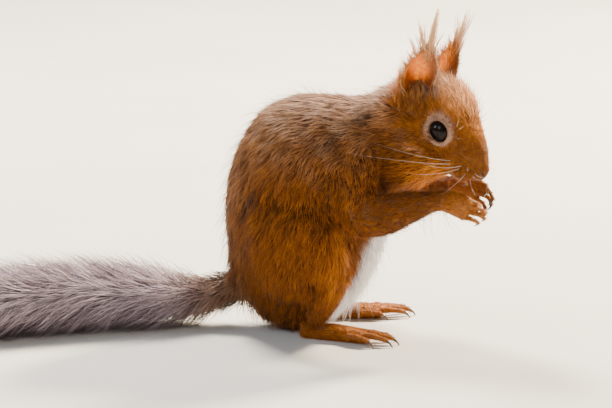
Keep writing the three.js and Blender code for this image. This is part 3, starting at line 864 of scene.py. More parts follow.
# %% Dark: nose, lids, ear edges, the tail's root and underside, and painted shade in the folds of the loose skin
FOLD_SHADES = [  # ends of a fold's painted shade as (x, z) in mm, and how dark it is
    ([-16.5, 71.0], [-21.5, 58.5], 1.0),
    ([39.0, 105.0], [31.0, 99.5], 0.6),
    ([24.0, 95.0], [14.5, 89.0], 0.6),
]
body_dark = 0.5 * blob([x, y, z], [-34, 0, 18], [12, 14, 14]) * (1 - of("tail"))
for near_end, far_end, depth in FOLD_SHADES:
    step = np.subtract(far_end, near_end)
    share = np.clip(((np.stack([x, z], 1) - near_end) @ step) / (step**2).sum(), 0, 1)
    off = np.stack([x + 0.7 * rough, z], 1) - near_end - share[:, None] * step
    fold_shade = depth * np.exp(-(off**2).sum(1) / 1.7**2) * (np.abs(y) > 8)
    body_dark = strongest(body_dark, fold_shade)
lid = np.exp(-(((from_eye - 4.15) / 0.4) ** 2))
under_tail = smooth(-0.3, -1.0, facing_up + 0.2 * rough)
tail_dark = strongest(0.85 * under_tail, 0.5 * (1 - down_tail))
ear_tip = 0.6 * smooth(0.8, 0.97, ear_height)
ear_dark = strongest(0.75 * smooth(3.0, 5.5, ear_across + rough), ear_tip)
# The nostrils are darkened as painted shade inside their openings.
face_dark = strongest(0.6 * nose, 1.3 * nostril, lid)
dark = np.select([head, of("tail"), of("ear")], [face_dark, tail_dark, ear_dark], body_dark)

# %% [markdown]
# The four masks go into one colour attribute. A second one says how a point is lit: how far along a
# hair it is, its tone, how much painted sheen of a cool sky the tail's grey takes, and how much
# light comes through the thin ear. Attributes stay with the points whatever the mesh's map, and
# skin and tufts can share them.

# %% The markings as attributes
def give(piece, name, numbers):
    """A named colour attribute on a piece's points."""
    layer = piece.data.attributes.new(name, "FLOAT_COLOR", "POINT")
    layer.data.foreach_set("color", np.asarray(numbers, np.float32).ravel())


bare_marks = np.clip(np.stack([white, grey, dark, gold], 1), 0, 1).astype(np.float32)
# The tail takes a painted sheen of cool sky light, more towards its end.
sky_sheen = of("tail") * down_tail
glow = of("ear") * (0.25 + 0.75 * ear_middle) * smooth(-0.02, 0.2, ear_height)
give(skin, "marks", bare_marks)
# The skin counts as a quarter of the way up a hair, so it takes the roots' painted shade; the ear's
# glowing skin counts as half way.
give(skin, "strand", np.stack([0.24 + 0.26 * (glow > 0), 0.5 + 0 * x, sky_sheen, glow], 1))
print("markings in", round(time.time() - began, 1), "s")

# %% [markdown]
# The coat isn't even over a part. It is short on the muzzle and long on the cheeks, it stands up
# along the nape, hangs from the belly and leaves the nose and the inside of the ears nearly bare.
# Round the eye it lies outwards from the lids.

# %% The coat of the head
bare_lie, (length, lift, cover) = values[:, :3], values[:, 3:6].T
length *= np.where(of("head"), 0.6 + 0.85 * smooth(22, -14, u), 1)
length *= np.where(head, 0.25 + 0.75 * smooth(4.4, 9, from_eye), 1)
cover *= np.where(head, 1 + 0.9 * smooth(6, 17, u) + 0.8 * (from_eye < 8), 1)
lift += np.where(head, 5, 0)
outward = unit(from_head(np.stack([u - EYE_AT[0], 0 * u, w - EYE_AT[2]], 1)) - HEAD_AT)
round_eye = (head * (1 - smooth(5.2, 9, from_eye)))[:, None]
bare_lie[:] = bare_lie * (1 - round_eye) + outward * round_eye

# %% The coat of the tail's root, the nape and the belly
length *= np.where(of("tail"), 0.5 + 0.5 * smooth(-26, -60, x), 1)
nape = smooth(34, 50, x) * smooth(97, 107, z) * smooth(0.0, 0.5, facing_up)
nape *= trunk | of("ear_root", "head", "ear")
length += 3.2 * nape
lift += 26 * nape
hang = (1 - smooth(9, 16, belly)) * (trunk | of("throat"))
length += 2.0 * hang
lift += 20 * hang

# %% The coat of the ears, the bare places, and the tail's hair that hangs at its sides
rim = of("ear") * (1 - smooth(0.35, 0.8, np.abs(into_ear)))
length += 1.0 * rim + 1.0 * of("ear") * smooth(0.5, -0.5, into_ear)
low_ear = of("ear") * smooth(0.24, 0.0, ear_height - 0.2 * smooth(-2, -6, ear_across))
length += 2.0 * low_ear
length *= 1 - 0.45 * of("ear") * ear_middle
lift += 34 * rim * (1 - 0.7 * low_ear)
ear_bare = strongest(0.8 * (into_ear > 0.3), 0.9 * ear_middle) * (1 - low_ear)
cover *= np.where(of("ear"), (1 - 0.8 * ear_bare) * (1 + 0.9 * low_ear), 1)
length *= np.where(of("ear") & (into_ear > 0.3), 0.75, 1)
cover *= (1 - np.clip(1.6 * nose, 0, 1)) * (from_eye > 4.55)
bare_lie += of("tail")[:, None] * (1 - np.abs(bare_normals[:, 2:])) * [0, 0, -0.45]
print("hairs from", round(float(length.min()), 1), "to", round(float(length.max()), 1), "mm")

# %% [markdown]
# ## Tufts
# A real coat is far too fine to model hair by hair, and hairs stick together in small pointed
# tufts anyway. Each tuft is a closed spike on three sides that leaves the skin at a slope, bends
# over and ends in a point. Tufts of one lock lean together, and the gaps between the locks let
# the darker underfur show.

# %% Where tufts grow
corner_at = bare[triangles]
face_normal = np.cross(corner_at[:, 1] - corner_at[:, 0], corner_at[:, 2] - corner_at[:, 0])
face_area = np.linalg.norm(face_normal, axis=1) / 2


def roots_on(faces_wanted, share=1.0):
    """Roots spread over chosen faces, one to each equal step of area times cover."""
    faces = np.flatnonzero(faces_wanted)
    weight = face_area[faces] * values[triangles[faces], 5].mean(1) * share
    total = np.cumsum(weight)
    count = int(total[-1])
    pick = (np.arange(count) + rng.random(count)) / count * total[-1]
    chosen = faces[np.searchsorted(total, pick).clip(0, len(faces) - 1)]
    a, b = rng.random((2, count))
    over = a + b > 1
    a, b = np.where(over, 1 - a, a), np.where(over, 1 - b, b)
    mix = np.stack([1 - a - b, a, b], 1)[..., None]
    corners = triangles[chosen]
    return dict(
        at=(bare[corners] * mix).sum(1),
        normal=unit((bare_normals[corners] * mix).sum(1)),
        value=(values[corners] * mix).sum(1),
        marks=(bare_marks[corners] * mix).sum(1),
        map=(corner_map[chosen] * mix).sum(1),
        sky_sheen=(sky_sheen[corners] * mix[..., 0]).sum(1),
        glow=(glow[corners] * mix[..., 0]).sum(1),
    )


# %% Locks
SCATTER = np.array([[12.9898, 39.346, 73.156], [78.233, 11.135, 83.155], [37.719, 93.989, 52.235]])


def lock_centres(points, size, seed):
    """The nearest centre of a lattice of cells; a cell's centre is moved about in it by the part
    after the point of 43758.5453 * sin(cell @ SCATTER + seed)."""
    cell = np.floor(points / size)
    best, best_gap = np.zeros_like(points), np.full(len(points), np.inf)
    for shift in np.ndindex(3, 3, 3):
        c = cell + np.array(shift) - 1
        key = np.sin(c @ SCATTER + seed) * 43758.5453
        centre = (c + 0.1 + 0.8 * (key - np.floor(key))) * size
        gap = ((points - centre) ** 2).sum(1)
        closer = gap < best_gap
        best[closer], best_gap[closer] = centre[closer], gap[closer]
    return best


# %% Spikes from roots
def spikes(root, early, late, length, width, levels=(0.0, 0.5), flat=0.6, across=None):
    """Points of three-sided spikes: middle line root + length (s early + s^2 (late - early)), and
    round it three corners at width (1 - s^1.5) / 2. Returns points, faces, the share along a spike
    and the share round it."""
    count, rings = len(root), len(levels)
    s = np.array([*levels, 1.0])[None, :, None]
    bend = s * early[:, None] + s**2 * (late - early)[:, None]
    line = root[:, None] + length[:, None, None] * bend
    way = unit(line[:, -1] - line[:, 0])
    across = np.cross(way, [0.11, 0.23, 0.97]) if across is None else np.cross(way, across)
    across = unit(across)[:, None, None]
    above = np.cross(across[:, 0, 0], way)[:, None, None]
    a = 2 * np.pi * (np.arange(3) / 3 + 1 / 12)[None, None, :, None]
    reach = (width[:, None] / 2 * (1 - np.array(levels) ** 1.5))[..., None, None]
    corners = line[:, :rings, None] + reach * (np.cos(a) * across + flat * np.sin(a) * above)
    points = np.concatenate([corners.reshape(count, -1, 3), line[:, -1:]], 1)
    per = rings * 3 + 1
    k = np.arange(3)
    n = (k + 1) % 3
    last = rings * 3 - 3
    walls = []
    for r in range(0, last, 3):
        walls.append(np.stack([r + k, r + n, r + 3 + n], 1))
        walls.append(np.stack([r + k, r + 3 + n, r + 3 + k], 1))
    tip = np.stack([last + k, last + n, np.full(3, per - 1)], 1)
    faces = np.concatenate([*walls, tip, [[2, 1, 0]]])
    faces = faces[None] + (np.arange(count) * per)[:, None, None]
    along = np.concatenate([np.repeat(levels, 3), [1.0]])
    turn = np.concatenate([np.tile(k / 2, rings), [0.5]])
    return points.reshape(-1, 3), faces.reshape(-1, 3), np.tile(along, count), np.tile(turn, count)


# %% Inside the box
SPARE = 1.5  # mm that hair tips may stand out of the solids' box
box_low = np.array(solid_box[0]) / MM - BODY_TO_FRAME - SPARE
box_high = np.array(solid_box[1]) / MM - BODY_TO_FRAME + SPARE
box_low[2] = 0.0


def in_box(points):
    """Points outside the box are moved to its wall."""
    return np.clip(points, box_low, box_high)


# %% [markdown]
# Every tuft is also a small patch on the map OFBake, at the place where its root lies on the
# skin's map, so the coat's colours can be baked later. A piece of coat stays under
# 200,000 triangles, so a large coat is cut into several pieces.

# %% Coat pieces
PATCH = 0.003
MOST_TRIANGLES = 190_000
coat = []


def tuft_piece(name, points, faces, along, turn, roots, shade):
    """One coat piece with its markings, its share along each tuft, its tone and its map."""
    per = len(points) // len(shade)
    piece = mesh_of(name, place(points), faces)
    give(piece, "marks", np.repeat(roots["marks"], per, 0))
    per_tuft = np.stack([shade, roots["sky_sheen"], roots["glow"]], 1)
    give(piece, "strand", np.c_[along, np.repeat(per_tuft, per, 0)])
    patch = np.repeat(roots["map"], per, 0) + PATCH * (np.stack([turn, along], 1) - 0.5)
    layer = piece.data.uv_layers.new(name="OFBake")
    layer.uv.foreach_set("vector", patch[faces.ravel()].astype(np.float32).ravel())
    piece.data.polygons.foreach_set("use_smooth", np.ones(len(faces), bool))
    return piece


def cut_into_pieces(name, roots, shade, points, faces, along, turn):
    """The tufts of one coat in pieces that are light enough to keep."""
    count = len(shade)
    per, per_faces = len(points) // count, len(faces) // count
    most = MOST_TRIANGLES // per_faces
    for start in range(0, count, most):
        some = slice(start, min(start + most, count))
        n = some.stop - start
        coat.append(tuft_piece(
            f"{name}_{start // most + 1}" if count > most else name,
            points[start * per : some.stop * per], faces[: n * per_faces],
            along[: n * per], turn[: n * per], {k: r[some] for k, r in roots.items()}, shade[some],
        ))


# %% [markdown]
# A tuft sets out steeper than the coat's lift and ends flatter, so it bends over. Its way sways a
# little in slow waves, which gives the coat its partings, and its tip is drawn towards the middle
# of its lock.

# %% A coat
SUNK = 0.2  # mm that a root lies under the skin
PULL = 0.62  # mm that a tip is drawn to its lock's middle, for each mm that it is away
FLOOR_GAP = 0.15


def bent(lie, normal, angle):
    """lie cos a + normal sin a."""
    return lie * np.cos(angle)[:, None] + normal * np.sin(angle)[:, None]


def coat_of(name, wanted, share=1.0, width=0.42, levels=(0.0, 0.5), longer=1.0, higher=0.0):
    """A coat over chosen faces of the skin."""
    roots = roots_on(wanted, share)
    root, normal = roots["at"], roots["normal"]
    lie, (length, lift) = roots["value"][:, :3], roots["value"][:, 3:5].T
    count = len(root)
    lie = unit(lie - normal * (lie * normal).sum(1, keepdims=True))
    sway = 0.24 * ripple(root, 14, 3) + 0.2 * ripple(root, 5, 4) + 0.16 * rng.normal(size=count)
    lie = unit(lie + np.cross(normal, lie) * sway[:, None])
    length = length * rng.uniform(0.72, 1.15, count) * longer
    uneven = 1 + 0.3 * ripple(root, 7, 5) + 0.35 * rng.normal(size=count)
    angle = np.radians((lift + higher) * uneven.clip(0.2, 2.4))
    early, late = bent(lie, normal, angle * 1.35), bent(lie, normal, angle * 0.75)
    centre = lock_centres(root, np.clip(length.mean() * 0.42, 0.9, 5.0), 6)
    pull = centre - root
    pull = pull - normal * (pull * normal).sum(1, keepdims=True)
    late = late + PULL * pull / np.maximum(length, 1.5)[:, None]
    wide = 0.55 + 0.45 * np.clip(length / 6, 0.25, 1)
    wide = width * wide * rng.uniform(0.75, 1.25, count)
    points, *rest = spikes(root - normal * SUNK, early, late, length, wide, levels, 0.6, normal)
    shade = (0.5 + 0.24 * ripple(centre, 3, 8) + 0.2 * rng.normal(size=count)).clip(0, 1)
    points[:, 2] = np.maximum(points[:, 2], FLOOR_GAP)
    cut_into_pieces(name, roots, shade, in_box(points), *rest)
    print(name, count, "tufts,", len(rest[0]), "triangles,", round(time.time() - began, 1), "s")


# %% The whole coat
face_part = part_here[triangles[:, 0]]
BODY_PARTS = ["trunk", "neck", "thigh", "upper_arm", "throat"]
coat_of("body_coat", np.isin(face_part, BODY_PARTS))
head_faces = np.isin(face_part, ["head", "jaw", "whisker_pad", "ear_root"])
coat_of("head_coat", head_faces, width=0.36)
limb_faces = np.isin(face_part, ["shank", "forearm", "palm", "foot", "digit"])
coat_of("limb_coat", limb_faces, width=0.3)
coat_of("tail_coat", face_part == "tail", levels=(0.0, 0.35, 0.72))
coat_of("ear_coat", face_part == "ear", width=0.26)
guarded = np.isin(face_part, [*BODY_PARTS, "forearm", "shank", "head"])
coat_of("guard_hairs", guarded, share=0.07, width=0.26, longer=1.45, higher=18)

# %% [markdown]
# ## Eyes
# The eye is a ball that sits deep behind its lids. It is nearly all dark iris and pupil, and wet.
# A ball of rings, with its poles out to the side, keeps its smallest faces where they show least.

# %% Balls
eyes = []
down = np.linspace(0, 1, 26)[1:-1, None, None] * np.pi
a = 2 * np.pi * np.arange(48)[None, :, None] / 48
ball = [np.sin(down) * np.cos(a), np.cos(down) + 0 * a, np.sin(down) * np.sin(a)]
for s, word in ((-1, "right"), (1, "left")):
    middle = EYE_AT * [1, s, 1]
    rings = from_head(middle + EYE_RADIUS * np.concatenate(ball, 2))
    q, t = closed_faces(rings.shape[:2])
    tops = from_head(middle + EYE_RADIUS * np.array([[0, 1.0, 0], [0, -1.0, 0]]))
    eye = mesh_of(f"eyeball_{word}", place(np.concatenate([rings.reshape(-1, 3), tops])), q, t)
    eyes.append(eye)
print(len(eyes), "eyes")

# %% [markdown]
# ## Claws
# Each claw is a small curved horn that carries on from its finger or toe. It is a loft as the
# limbs are, and all twenty make one piece.

# %% Claws
claw_rings = [
    domed(limb_rings(claw, 9, 0, 10, axis), (0.4, 0.3)) for flesh, claw, axis in ALL_DIGITS
]
claw_points, claw_quads, claw_tris = join_parts(claw_rings)
claw_points[:, 2] = np.maximum(claw_points[:, 2], 0.1)
claws = mesh_of("claws", place(claw_points), claw_quads, claw_tris)
print(len(claw_rings), "claws")

# %% [markdown]
# ## Whiskers
# Long stiff hairs grow in rows on each pad, with a few over the eye and a fringe of softer ones
# under the forearm. They are spikes like the tufts, but with more levels, so that they bend
# smoothly.

# %% Whiskers
BROW = [  # place and way in the head, length
    ([6.5, 11, 6.5], [0.3, 0.8, 0.8], 8),
    ([5, 12, 7], [0, 0.8, 0.9], 10),
    ([8, 10.4, 2], [0.6, 0.7, 0.7], 5),
]
WHISKER_WIDTH = 0.22
hairs = []  # root, way it sets out, way it ends, length


def pad_whiskers(s):
    """Four columns on a pad: the front ones point forwards, the hind ones back."""
    for column, rows in enumerate((3, 3, 2, 2)):
        for row in range(rows):
            root = [22.8 - 2.6 * column, s * (3.6 + 0.95 * column), -6.6 - 1.8 * row]
            back = -0.75 + 0.55 * column
            way = np.array([-back, s * (1.0 - 0.14 * column), 0.3 - 0.32 * column - 0.22 * row])
            way = way + rng.normal(size=3) * 0.07
            end = way + np.array([-0.12 * column, 0.05 * s, 0.55 - 0.15 * column - 0.12 * row])
            reach = 11 + 6.5 * column + rng.uniform(-3, 4)
            yield from_head(root), HEAD_TURN @ unit(way), HEAD_TURN @ end, reach


for s in (-1, 1):
    hairs += pad_whiskers(s)
    for at, way, reach in BROW:
        way = HEAD_TURN @ unit(np.array(way) * [1, s, 1])
        hairs.append((from_head(np.array(at) * [1, s, 1]), way, way, reach))
    fore = np.array(FORE_RIGHT if s < 0 else FORE_LEFT)
    for t in rng.uniform(0.45, 1.0, 11):
        at = row_at(fore, np.array([t]))[0]
        way = np.array([rng.normal() * 0.3 + 0.15, rng.normal() * 0.25, -1])
        root = at[:3] - [0, 0, at[3] * 0.75]
        hairs.append((root, unit(way), way + [0.3, 0, 0], rng.uniform(9, 17)))
root, early, late, reach = (np.array(item) for item in zip(*hairs))
wide = np.full(len(root), WHISKER_WIDTH)
points, faces, *_ = spikes(root, early, late, reach, wide, tuple(np.linspace(0, 0.94, 9)), 1.0)
whiskers = mesh_of("whiskers", place(in_box(points)), faces)
print(len(hairs), "whiskers")

# %% [markdown]
# ## Ear brushes
# A red squirrel's ears end in tall brushes of long hair. The hairs of a lock start side by side
# on the ear's edge and lean together to one point. Short hairs stand out along both of the ear's
# edges.

# %% Brushes
EAR_LOCKS = {  # foot and tip from the ear's point, mm forward and up, then the hairs in the lock
    -1: [
        ([2.0, -4.5, 4.2, 22.5], 60), ([1.5, -5, 3.2, 18], 24), ([2.5, -4.5, 8.2, 11.5], 8),
        ([0.3, -3.5, -5.5, 15.5], 12), ([0, -3, -3.2, 12], 8), ([0.2, -3, -1.4, 15], 9),
        ([-3, -4, -8.5, 6], 8), ([-1.5, -3, -5.5, 7.5], 7), ([-5, -6.5, -9.5, -0.5], 6),
    ],
    1: [
        ([2.5, -3.5, 3.4, 18.5], 34), ([3, -4, 8, 17.6], 15), ([1.5, -2.5, -1.5, 11.5], 10),
        ([1.8, -2.5, 1.5, 12.5], 12), ([3.8, -5.5, 7.5, 6], 10), ([0.5, -2.5, 0.5, 9], 8),
        ([1, -3, -3.6, 18.5], 4), ([-2.5, -4.5, -5.5, 3.5], 6),
    ],
}
brush = []  # foot, way it sets out, way it ends, length


def add_hairs(foot, early, late, reach):
    """Hairs given in the head's frame, kept in the body's."""
    brush.append(np.c_[from_head(foot), early @ HEAD_TURN.T, late @ HEAD_TURN.T, reach])


def lock_of_hairs(s, foot_on, foot_up, tip_on, tip_up, count):
    """Hairs whose feet lie side by side on the ear's edge and whose tips lean to one point."""
    up, facing, across = ear_frame(s)
    ways = np.stack([across, up, facing])
    top = EAR_AT * [1, s, 1] + up * EAR_HEIGHT + across * 1.2 - facing * 1.2
    spread = rng.normal(size=(count, 3)) * [0.8, 1.4, 0.5]
    foot = top + (spread + [foot_on, foot_up, 0]) @ ways
    short = rng.uniform(0.74, 1.04, count)
    fork = rng.normal(size=(count, 2)) * 0.75 * short[:, None]
    tip = top + np.c_[tip_on + fork[:, 0], tip_up + fork[:, 1] * 0.5, fork[:, 1]] @ ways
    way = (tip - foot) * short[:, None]
    early = unit(unit(way) + 0.22 * up + 0.05 * rng.normal(size=(count, 3)))
    add_hairs(foot, early, unit(way), np.linalg.norm(way, axis=1))


def rim_hairs(s, side_of_rim, count, reach):
    """Short hairs that stand out all along one edge of the ear."""
    up, facing, across = ear_frame(s)
    t = rng.uniform(-0.05, 0.97, count)
    half, depth, arc, lean = row_at(EAR_LEVELS, np.maximum(t, 0)).T
    a = side_of_rim * np.radians(arc) * rng.uniform(0.75, 1.0, count)
    foot = EAR_AT * [1, s, 1] + np.outer((EAR_HEIGHT - 1) * t, up)
    foot = foot + np.outer((half - 0.3) * np.sin(a) + lean, across)
    foot = foot - np.outer((depth - 0.3) * np.cos(a), facing)
    way = across * 0.8 * side_of_rim + up * 0.7 + 0.1 * facing
    way = unit(way + 0.22 * rng.normal(size=(count, 3)))
    add_hairs(foot, way, unit(way + 0.3 * up), rng.uniform(*reach, count))


for s, locks in EAR_LOCKS.items():
    for lock, count in locks:
        lock_of_hairs(s, *lock, count)
    rim_hairs(s, -1, 120, (1.8, 4.4))
    rim_hairs(s, 1, 60, (1.4, 3.0))

# %% Brushes as one piece
RIM_HAIR = 4.5  # mm; a shorter hair is one of the rim's, and finer
brush = np.concatenate(brush)
root, early, late, reach = brush[:, :3], brush[:, 3:6], brush[:, 6:9], brush[:, 9]
wide = rng.uniform(0.34, 0.56, len(brush)) * np.where(reach < RIM_HAIR, 0.6, 1)
points, faces, along, _ = spikes(root, early, late, reach, wide, (0.0, 0.3, 0.6, 0.85), 1.0)
brushes = mesh_of("ear_brushes", place(in_box(points)), faces)
tone = np.repeat(rng.random(len(brush)), len(along) // len(brush))
give(brushes, "strand", np.stack([along, tone, 0 * tone, 0 * tone], 1))
print(len(faces), "triangles of brush")

# %% [markdown]
# ## Finishes
# A material here is an expression over sockets. One class wraps a value so that sums and products
# add their nodes, and one method makes any other node. That reads like the formula it stands for,
# where node by node it would be pages of links.


# %% Sockets as expressions
class Value:
    """A number on a socket; + and * with numbers or other values add Math nodes."""

    def __init__(self, finish, socket):
        self.finish, self.socket = finish, socket

    def math(self, operation, a, b):
        return self.finish.node("ShaderNodeMath", {"operation": operation}, {0: a, 1: b}).value()

    def __add__(self, other):
        return self.math("ADD", self, other)

    def __mul__(self, other):
        return self.math("MULTIPLY", self, other)

    __radd__, __rmul__ = __add__, __mul__


class Made:
    """A node that has been made, and its outputs."""

    def __init__(self, finish, node):
        self.finish, self.made = finish, node

    def value(self, name=0):
        return Value(self.finish, self.made.outputs[name])


class Finish:
    """A material under work."""

    def __init__(self, name):
        self.material = bpy.data.materials.new(name)
        self.material.use_nodes = True
        self.tree = self.material.node_tree
        self.tree.nodes.clear()

    def node(self, kind, settings=None, inputs=None):
        """A node of a kind: its settings first, then its sockets' numbers or links."""
        made = self.tree.nodes.new(kind)
        for name, setting in (settings or {}).items():
            setattr(made, name, setting)
        for name, item in (inputs or {}).items():
            if isinstance(item, Value):
                self.tree.links.new(item.socket, made.inputs[name])
            else:
                made.inputs[name].default_value = item
        return Made(self, made)

    def attribute(self, name, output="Color"):
        return self.node("ShaderNodeAttribute", {"attribute_name": name}).value(output)

    def channels(self, colour):
        parts_of = self.node("ShaderNodeSeparateColor", {}, {0: colour})
        return [parts_of.value(k) for k in range(3)]

    def mix(self, share, a, b, blend="MIX"):
        """a where share is 0 and b where it is 1, as colours."""
        settings = {"data_type": "RGBA", "blend_type": blend}
        return self.node("ShaderNodeMix", settings, {0: share, 6: a, 7: b}).value(2)

    def grey(self, level):
        """A colour with the same level on each channel."""
        return self.node("ShaderNodeCombineColor", {}, {0: level, 1: level, 2: level}).value(0)

    def noise(self, scale, detail=3.0):
        at = self.node("ShaderNodeTexCoord").value("Object")
        names = {"Vector": at, "Scale": scale, "Detail": detail, "Roughness": 0.5}
        return self.node("ShaderNodeTexNoise", {}, names).value(0)

    def ranged(self, x, low, high, out_low=0.0, out_high=1.0):
        """Share of the way from low to high, smoothed and clamped, as a value of the out range."""
        names = {"Value": x, "From Min": low, "From Max": high}
        names |= {"To Min": out_low, "To Max": out_high}
        return self.node("ShaderNodeMapRange", {"interpolation_type": "SMOOTHSTEP"}, names).value(0)

    def bump(self, height, distance, strength):
        names = {"Height": height, "Distance": distance, "Strength": strength}
        return self.node("ShaderNodeBump", {}, names).value(0)

    def mottled(self, scale, dark, light):
        """A colour that wanders between two with a soft noise."""
        return self.mix(self.ranged(self.noise(scale), 0.3, 0.7), dark, light)

    def surface(self, **inputs):
        """The Principled shader with these sockets, on the material's output."""
        names = {name.replace("_", " "): item for name, item in inputs.items()}
        shader = self.node("ShaderNodeBsdfPrincipled", {}, names).value(0)
        self.node("ShaderNodeOutputMaterial", {}, {0: shader})
        return self.material


def tint(red, green, blue):
    """A colour from 0-255 screen values: ((c/255 + 0.055) / 1.055)^2.4."""
    c = (np.array([red, green, blue]) / 255 + 0.055) / 1.055
    return (*(c**2.4).tolist(), 1.0)


# %% [markdown]
# ## The coat's colour
# Skin and tufts share one expression: russet, then gold, grey, white and dark by the markings.
# Each tuft has its own tone, and is darker at its root, where real hair lies in its neighbours'
# shade. Light also passes through pale and golden hair, which a solid spike can't show, so a low
# emission of the coat's own colour stands in for it.

# %% Colours by the markings
def coat_colour(f):
    """The coat's colour, and the same dimmed to what shines through it."""
    white, grey, dark = f.channels(f.attribute("marks"))
    gold = f.attribute("marks", "Alpha")
    along, shade, sky_sheen = f.channels(f.attribute("strand"))

    def toned(dark_tint, light_tint):
        return f.mix(shade, tint(*dark_tint), tint(*light_tint))

    warm_grey = toned((112, 82, 52), (220, 180, 142))
    # The tail's grey turns lilac, its roots darken less and it glows a little: a painted sheen of
    # cool sky light.
    greyish = f.mix(sky_sheen, warm_grey, toned((120, 100, 110), (236, 218, 224)))
    colour = f.mix(gold, toned((85, 39, 1), (187, 109, 15)), toned((170, 80, 4), (246, 158, 40)))
    colour = f.mix(grey, colour, greyish)
    colour = f.mix(white, colour, toned((222, 210, 198), (255, 252, 248)))
    colour = f.mix(dark, colour, toned((30, 22, 20), (74, 58, 52)))
    depth = f.ranged(along, 0.0, 0.75, 0.34 + sky_sheen * 0.18, 1.0)
    colour = f.mix(1.0, colour, f.grey(depth), "MULTIPLY")
    lit = white * 0.44 + gold * gold * 0.38 + sky_sheen * 0.1
    return colour, f.mix(lit, BLACK, colour)


BLACK = tint(0, 0, 0)
f = Finish("coat")
colour, lit = coat_colour(f)
through = f.attribute("strand", "Alpha")
fur = f.surface(
    Base_Color=colour, Roughness=0.5, Specular_IOR_Level=0.2,
    Emission_Color=f.mix(through * 0.3, lit, tint(255, 118, 12)), Emission_Strength=1.0,
)

# %% [markdown]
# ## The skin's colour
# Under the hair the skin takes the coat's colour, dimmed by the roots' painted shade, so a gap
# shows no bare ground. The thin ear is lit from behind: it glows orange, redder where a fine noise
# stands for veins, and dark at its edge.

# %% Skin
f = Finish("skin")
through = f.attribute("strand", "Alpha")
veins = f.ranged(f.noise(520.0, 4.0), 0.36, 0.62, 0.3, 1.0)
backlit = f.mix(f.ranged(through * veins, 0.25, 0.95), tint(206, 62, 0), tint(255, 160, 8))
backlit = f.mix(f.channels(f.attribute("marks"))[2], backlit, tint(40, 16, 6))
hide = f.surface(
    Base_Color=f.mix(through * 0.7, coat_colour(f)[0], tint(210, 106, 8)), Roughness=0.6,
    Normal=f.bump(f.noise(900.0, 4.0), 0.0004, 0.6),
    Emission_Color=f.mix(through, BLACK, backlit), Emission_Strength=1.1,
)

# %% [markdown]
# ## Eyes, claws, whiskers and brushes
# The eye is wet and nearly black, the claws are dark horn, and the whiskers are pale and stiff.
# Each wanders a little between two tones, as nothing grown has one flat colour. A brush is golden
# at its foot and straw-coloured at its tips, with a low glow: the pale straw and the glow are
# painted light, for the sun shining through the hairs.

# %% Small finishes
f = Finish("eye")
iris = f.mottled(260.0, tint(10, 7, 6), tint(26, 16, 11))
eye_finish = f.surface(Base_Color=iris, Roughness=0.04, IOR=1.36, Specular_IOR_Level=0.22)
f = Finish("claw")
horn = f.mottled(500.0, tint(58, 42, 34), tint(112, 88, 70))
claw_finish = f.surface(Base_Color=horn, Roughness=0.32)
f = Finish("whisker")
stiff = f.mottled(300.0, tint(206, 190, 176), tint(246, 238, 230))
whisker_finish = f.surface(Base_Color=stiff, Roughness=0.35)
f = Finish("brush")
along, shade, _ = f.channels(f.attribute("strand"))
# The pale straw and the glow are painted light, for the sun shining through the hairs.
backlit_straw = f.mix(along, tint(200, 140, 90), f.mix(shade, tint(226, 186, 136), tint(252, 232, 200)))
brush_finish = f.surface(
    Base_Color=backlit_straw, Roughness=0.45,
    Emission_Color=f.mix(along, tint(60, 30, 10), backlit_straw), Emission_Strength=0.4,
)

# %% Finishes on their pieces
for piece, finish in [
    (skin, hide), (claws, claw_finish), (whiskers, whisker_finish), (brushes, brush_finish),
    *((p, fur) for p in coat), *((e, eye_finish) for e in eyes),
]:
    piece.data.materials.append(finish)
for piece in (skin, claws, whiskers, brushes, *eyes):
    piece.data.polygons.foreach_set("use_smooth", np.ones(len(piece.data.polygons), bool))
print(len(bpy.data.materials), "finishes")

# %% [markdown]
# ## Floor and light
# A plain pale floor, and four soft lights: a warm low one and a broad one from behind, which make
# the coat's edge glow, a weak one from the viewer's side, and a small cool one for the shine in
# the eye.

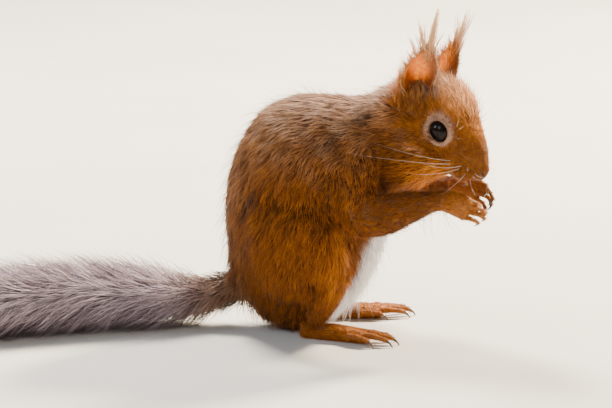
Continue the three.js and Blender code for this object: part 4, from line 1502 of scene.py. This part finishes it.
# %% Floor
HALF = 2.5  # metres
floor_points = HALF * np.array([[-1, -1, 0], [1, -1, 0], [1, 1, 0], [-1, 1, 0]])
floor = mesh_of("floor", floor_points, np.array([[0, 1, 2, 3]]))
f = Finish("floor")
paint = f.mottled(6.0, tint(200, 197, 191), tint(206, 203, 197))
floor.data.materials.append(f.surface(Base_Color=paint, Roughness=0.8))
floor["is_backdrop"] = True

# %% Light
world = bpy.data.worlds.new("studio")
world.use_nodes = True
background = world.node_tree.nodes["Background"].inputs
background["Color"].default_value = (0.88, 0.87, 0.88, 1)
background["Strength"].default_value = 0.33
bpy.context.scene.world = world
LIT_AT = Vector((0.05, 0, 0.07))  # the animal's middle


def soft_light(name, at, watts, size, colour):
    """A square soft light that faces the animal's middle."""
    light = bpy.data.lights.new(name, "AREA")
    light.energy, light.size, light.color = watts, size, colour
    lamp = bpy.data.objects.new(name, light)
    lamp.location = at
    lamp.rotation_euler = (Vector(at) - LIT_AT).to_track_quat("Z", "Y").to_euler()
    bpy.context.scene.collection.objects.link(lamp)
    lamp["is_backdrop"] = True


soft_light("low sun", (0.8, 0.95, 0.9), 118, 0.22, (1.0, 0.84, 0.62))
soft_light("viewer's side", (-0.5, -1.35, 0.9), 9, 0.7, (1.0, 0.95, 0.9))
soft_light("over the back", (-0.5, 0.75, 1.15), 66, 0.4, (1.0, 0.9, 0.8))
soft_light("low window", (-0.8, -0.32, 0.54), 4, 0.3, (0.6, 0.8, 1.0))

# %% [markdown]
# ## Hand the pieces over
# Every piece belongs to the one body, and takes the place of the solids that it covers.

# %% Pieces and nodes
def both(*names):
    """The right and the left node of each name."""
    return [f"{name}_{word}" for name in names for word in ("right", "left")]


flesh_nodes = ["head", "neck", "trunk", "tail_base", "tail_middle", "tail_end"]
flesh_nodes += both("ear", "upper_arm", "forearm", "forepaw", "thigh", "shank", "hind_foot")
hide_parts(*flesh_nodes)
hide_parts(*both("ear_tuft"))
for eye, word in zip(eyes, ("right", "left")):
    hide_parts(f"eye_{word}")
slots = [(skin, "face"), (claws, "paw"), (whiskers, "face"), (brushes, "ear_tuft")]
slots += [(eye, "eye") for eye in eyes]
COAT_SLOTS = {"tail": "tail", "head": "face", "ear": "ear", "limb": "paw"}
slots += [(piece, COAT_SLOTS.get(piece.name.split("_")[0], "coat")) for piece in coat]
for piece, slot_name in slots:
    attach(piece, "root")
count = sum(len(p.data.polygons) for p in coat)
print("coat pieces:", len(coat), "with", count, "triangles")

# %% Sizes, and the end
size = {"solids": [list(c) for c in solid_box], "shown": [list(c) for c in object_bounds()]}
print(size, round(time.time() - began, 1), "s")
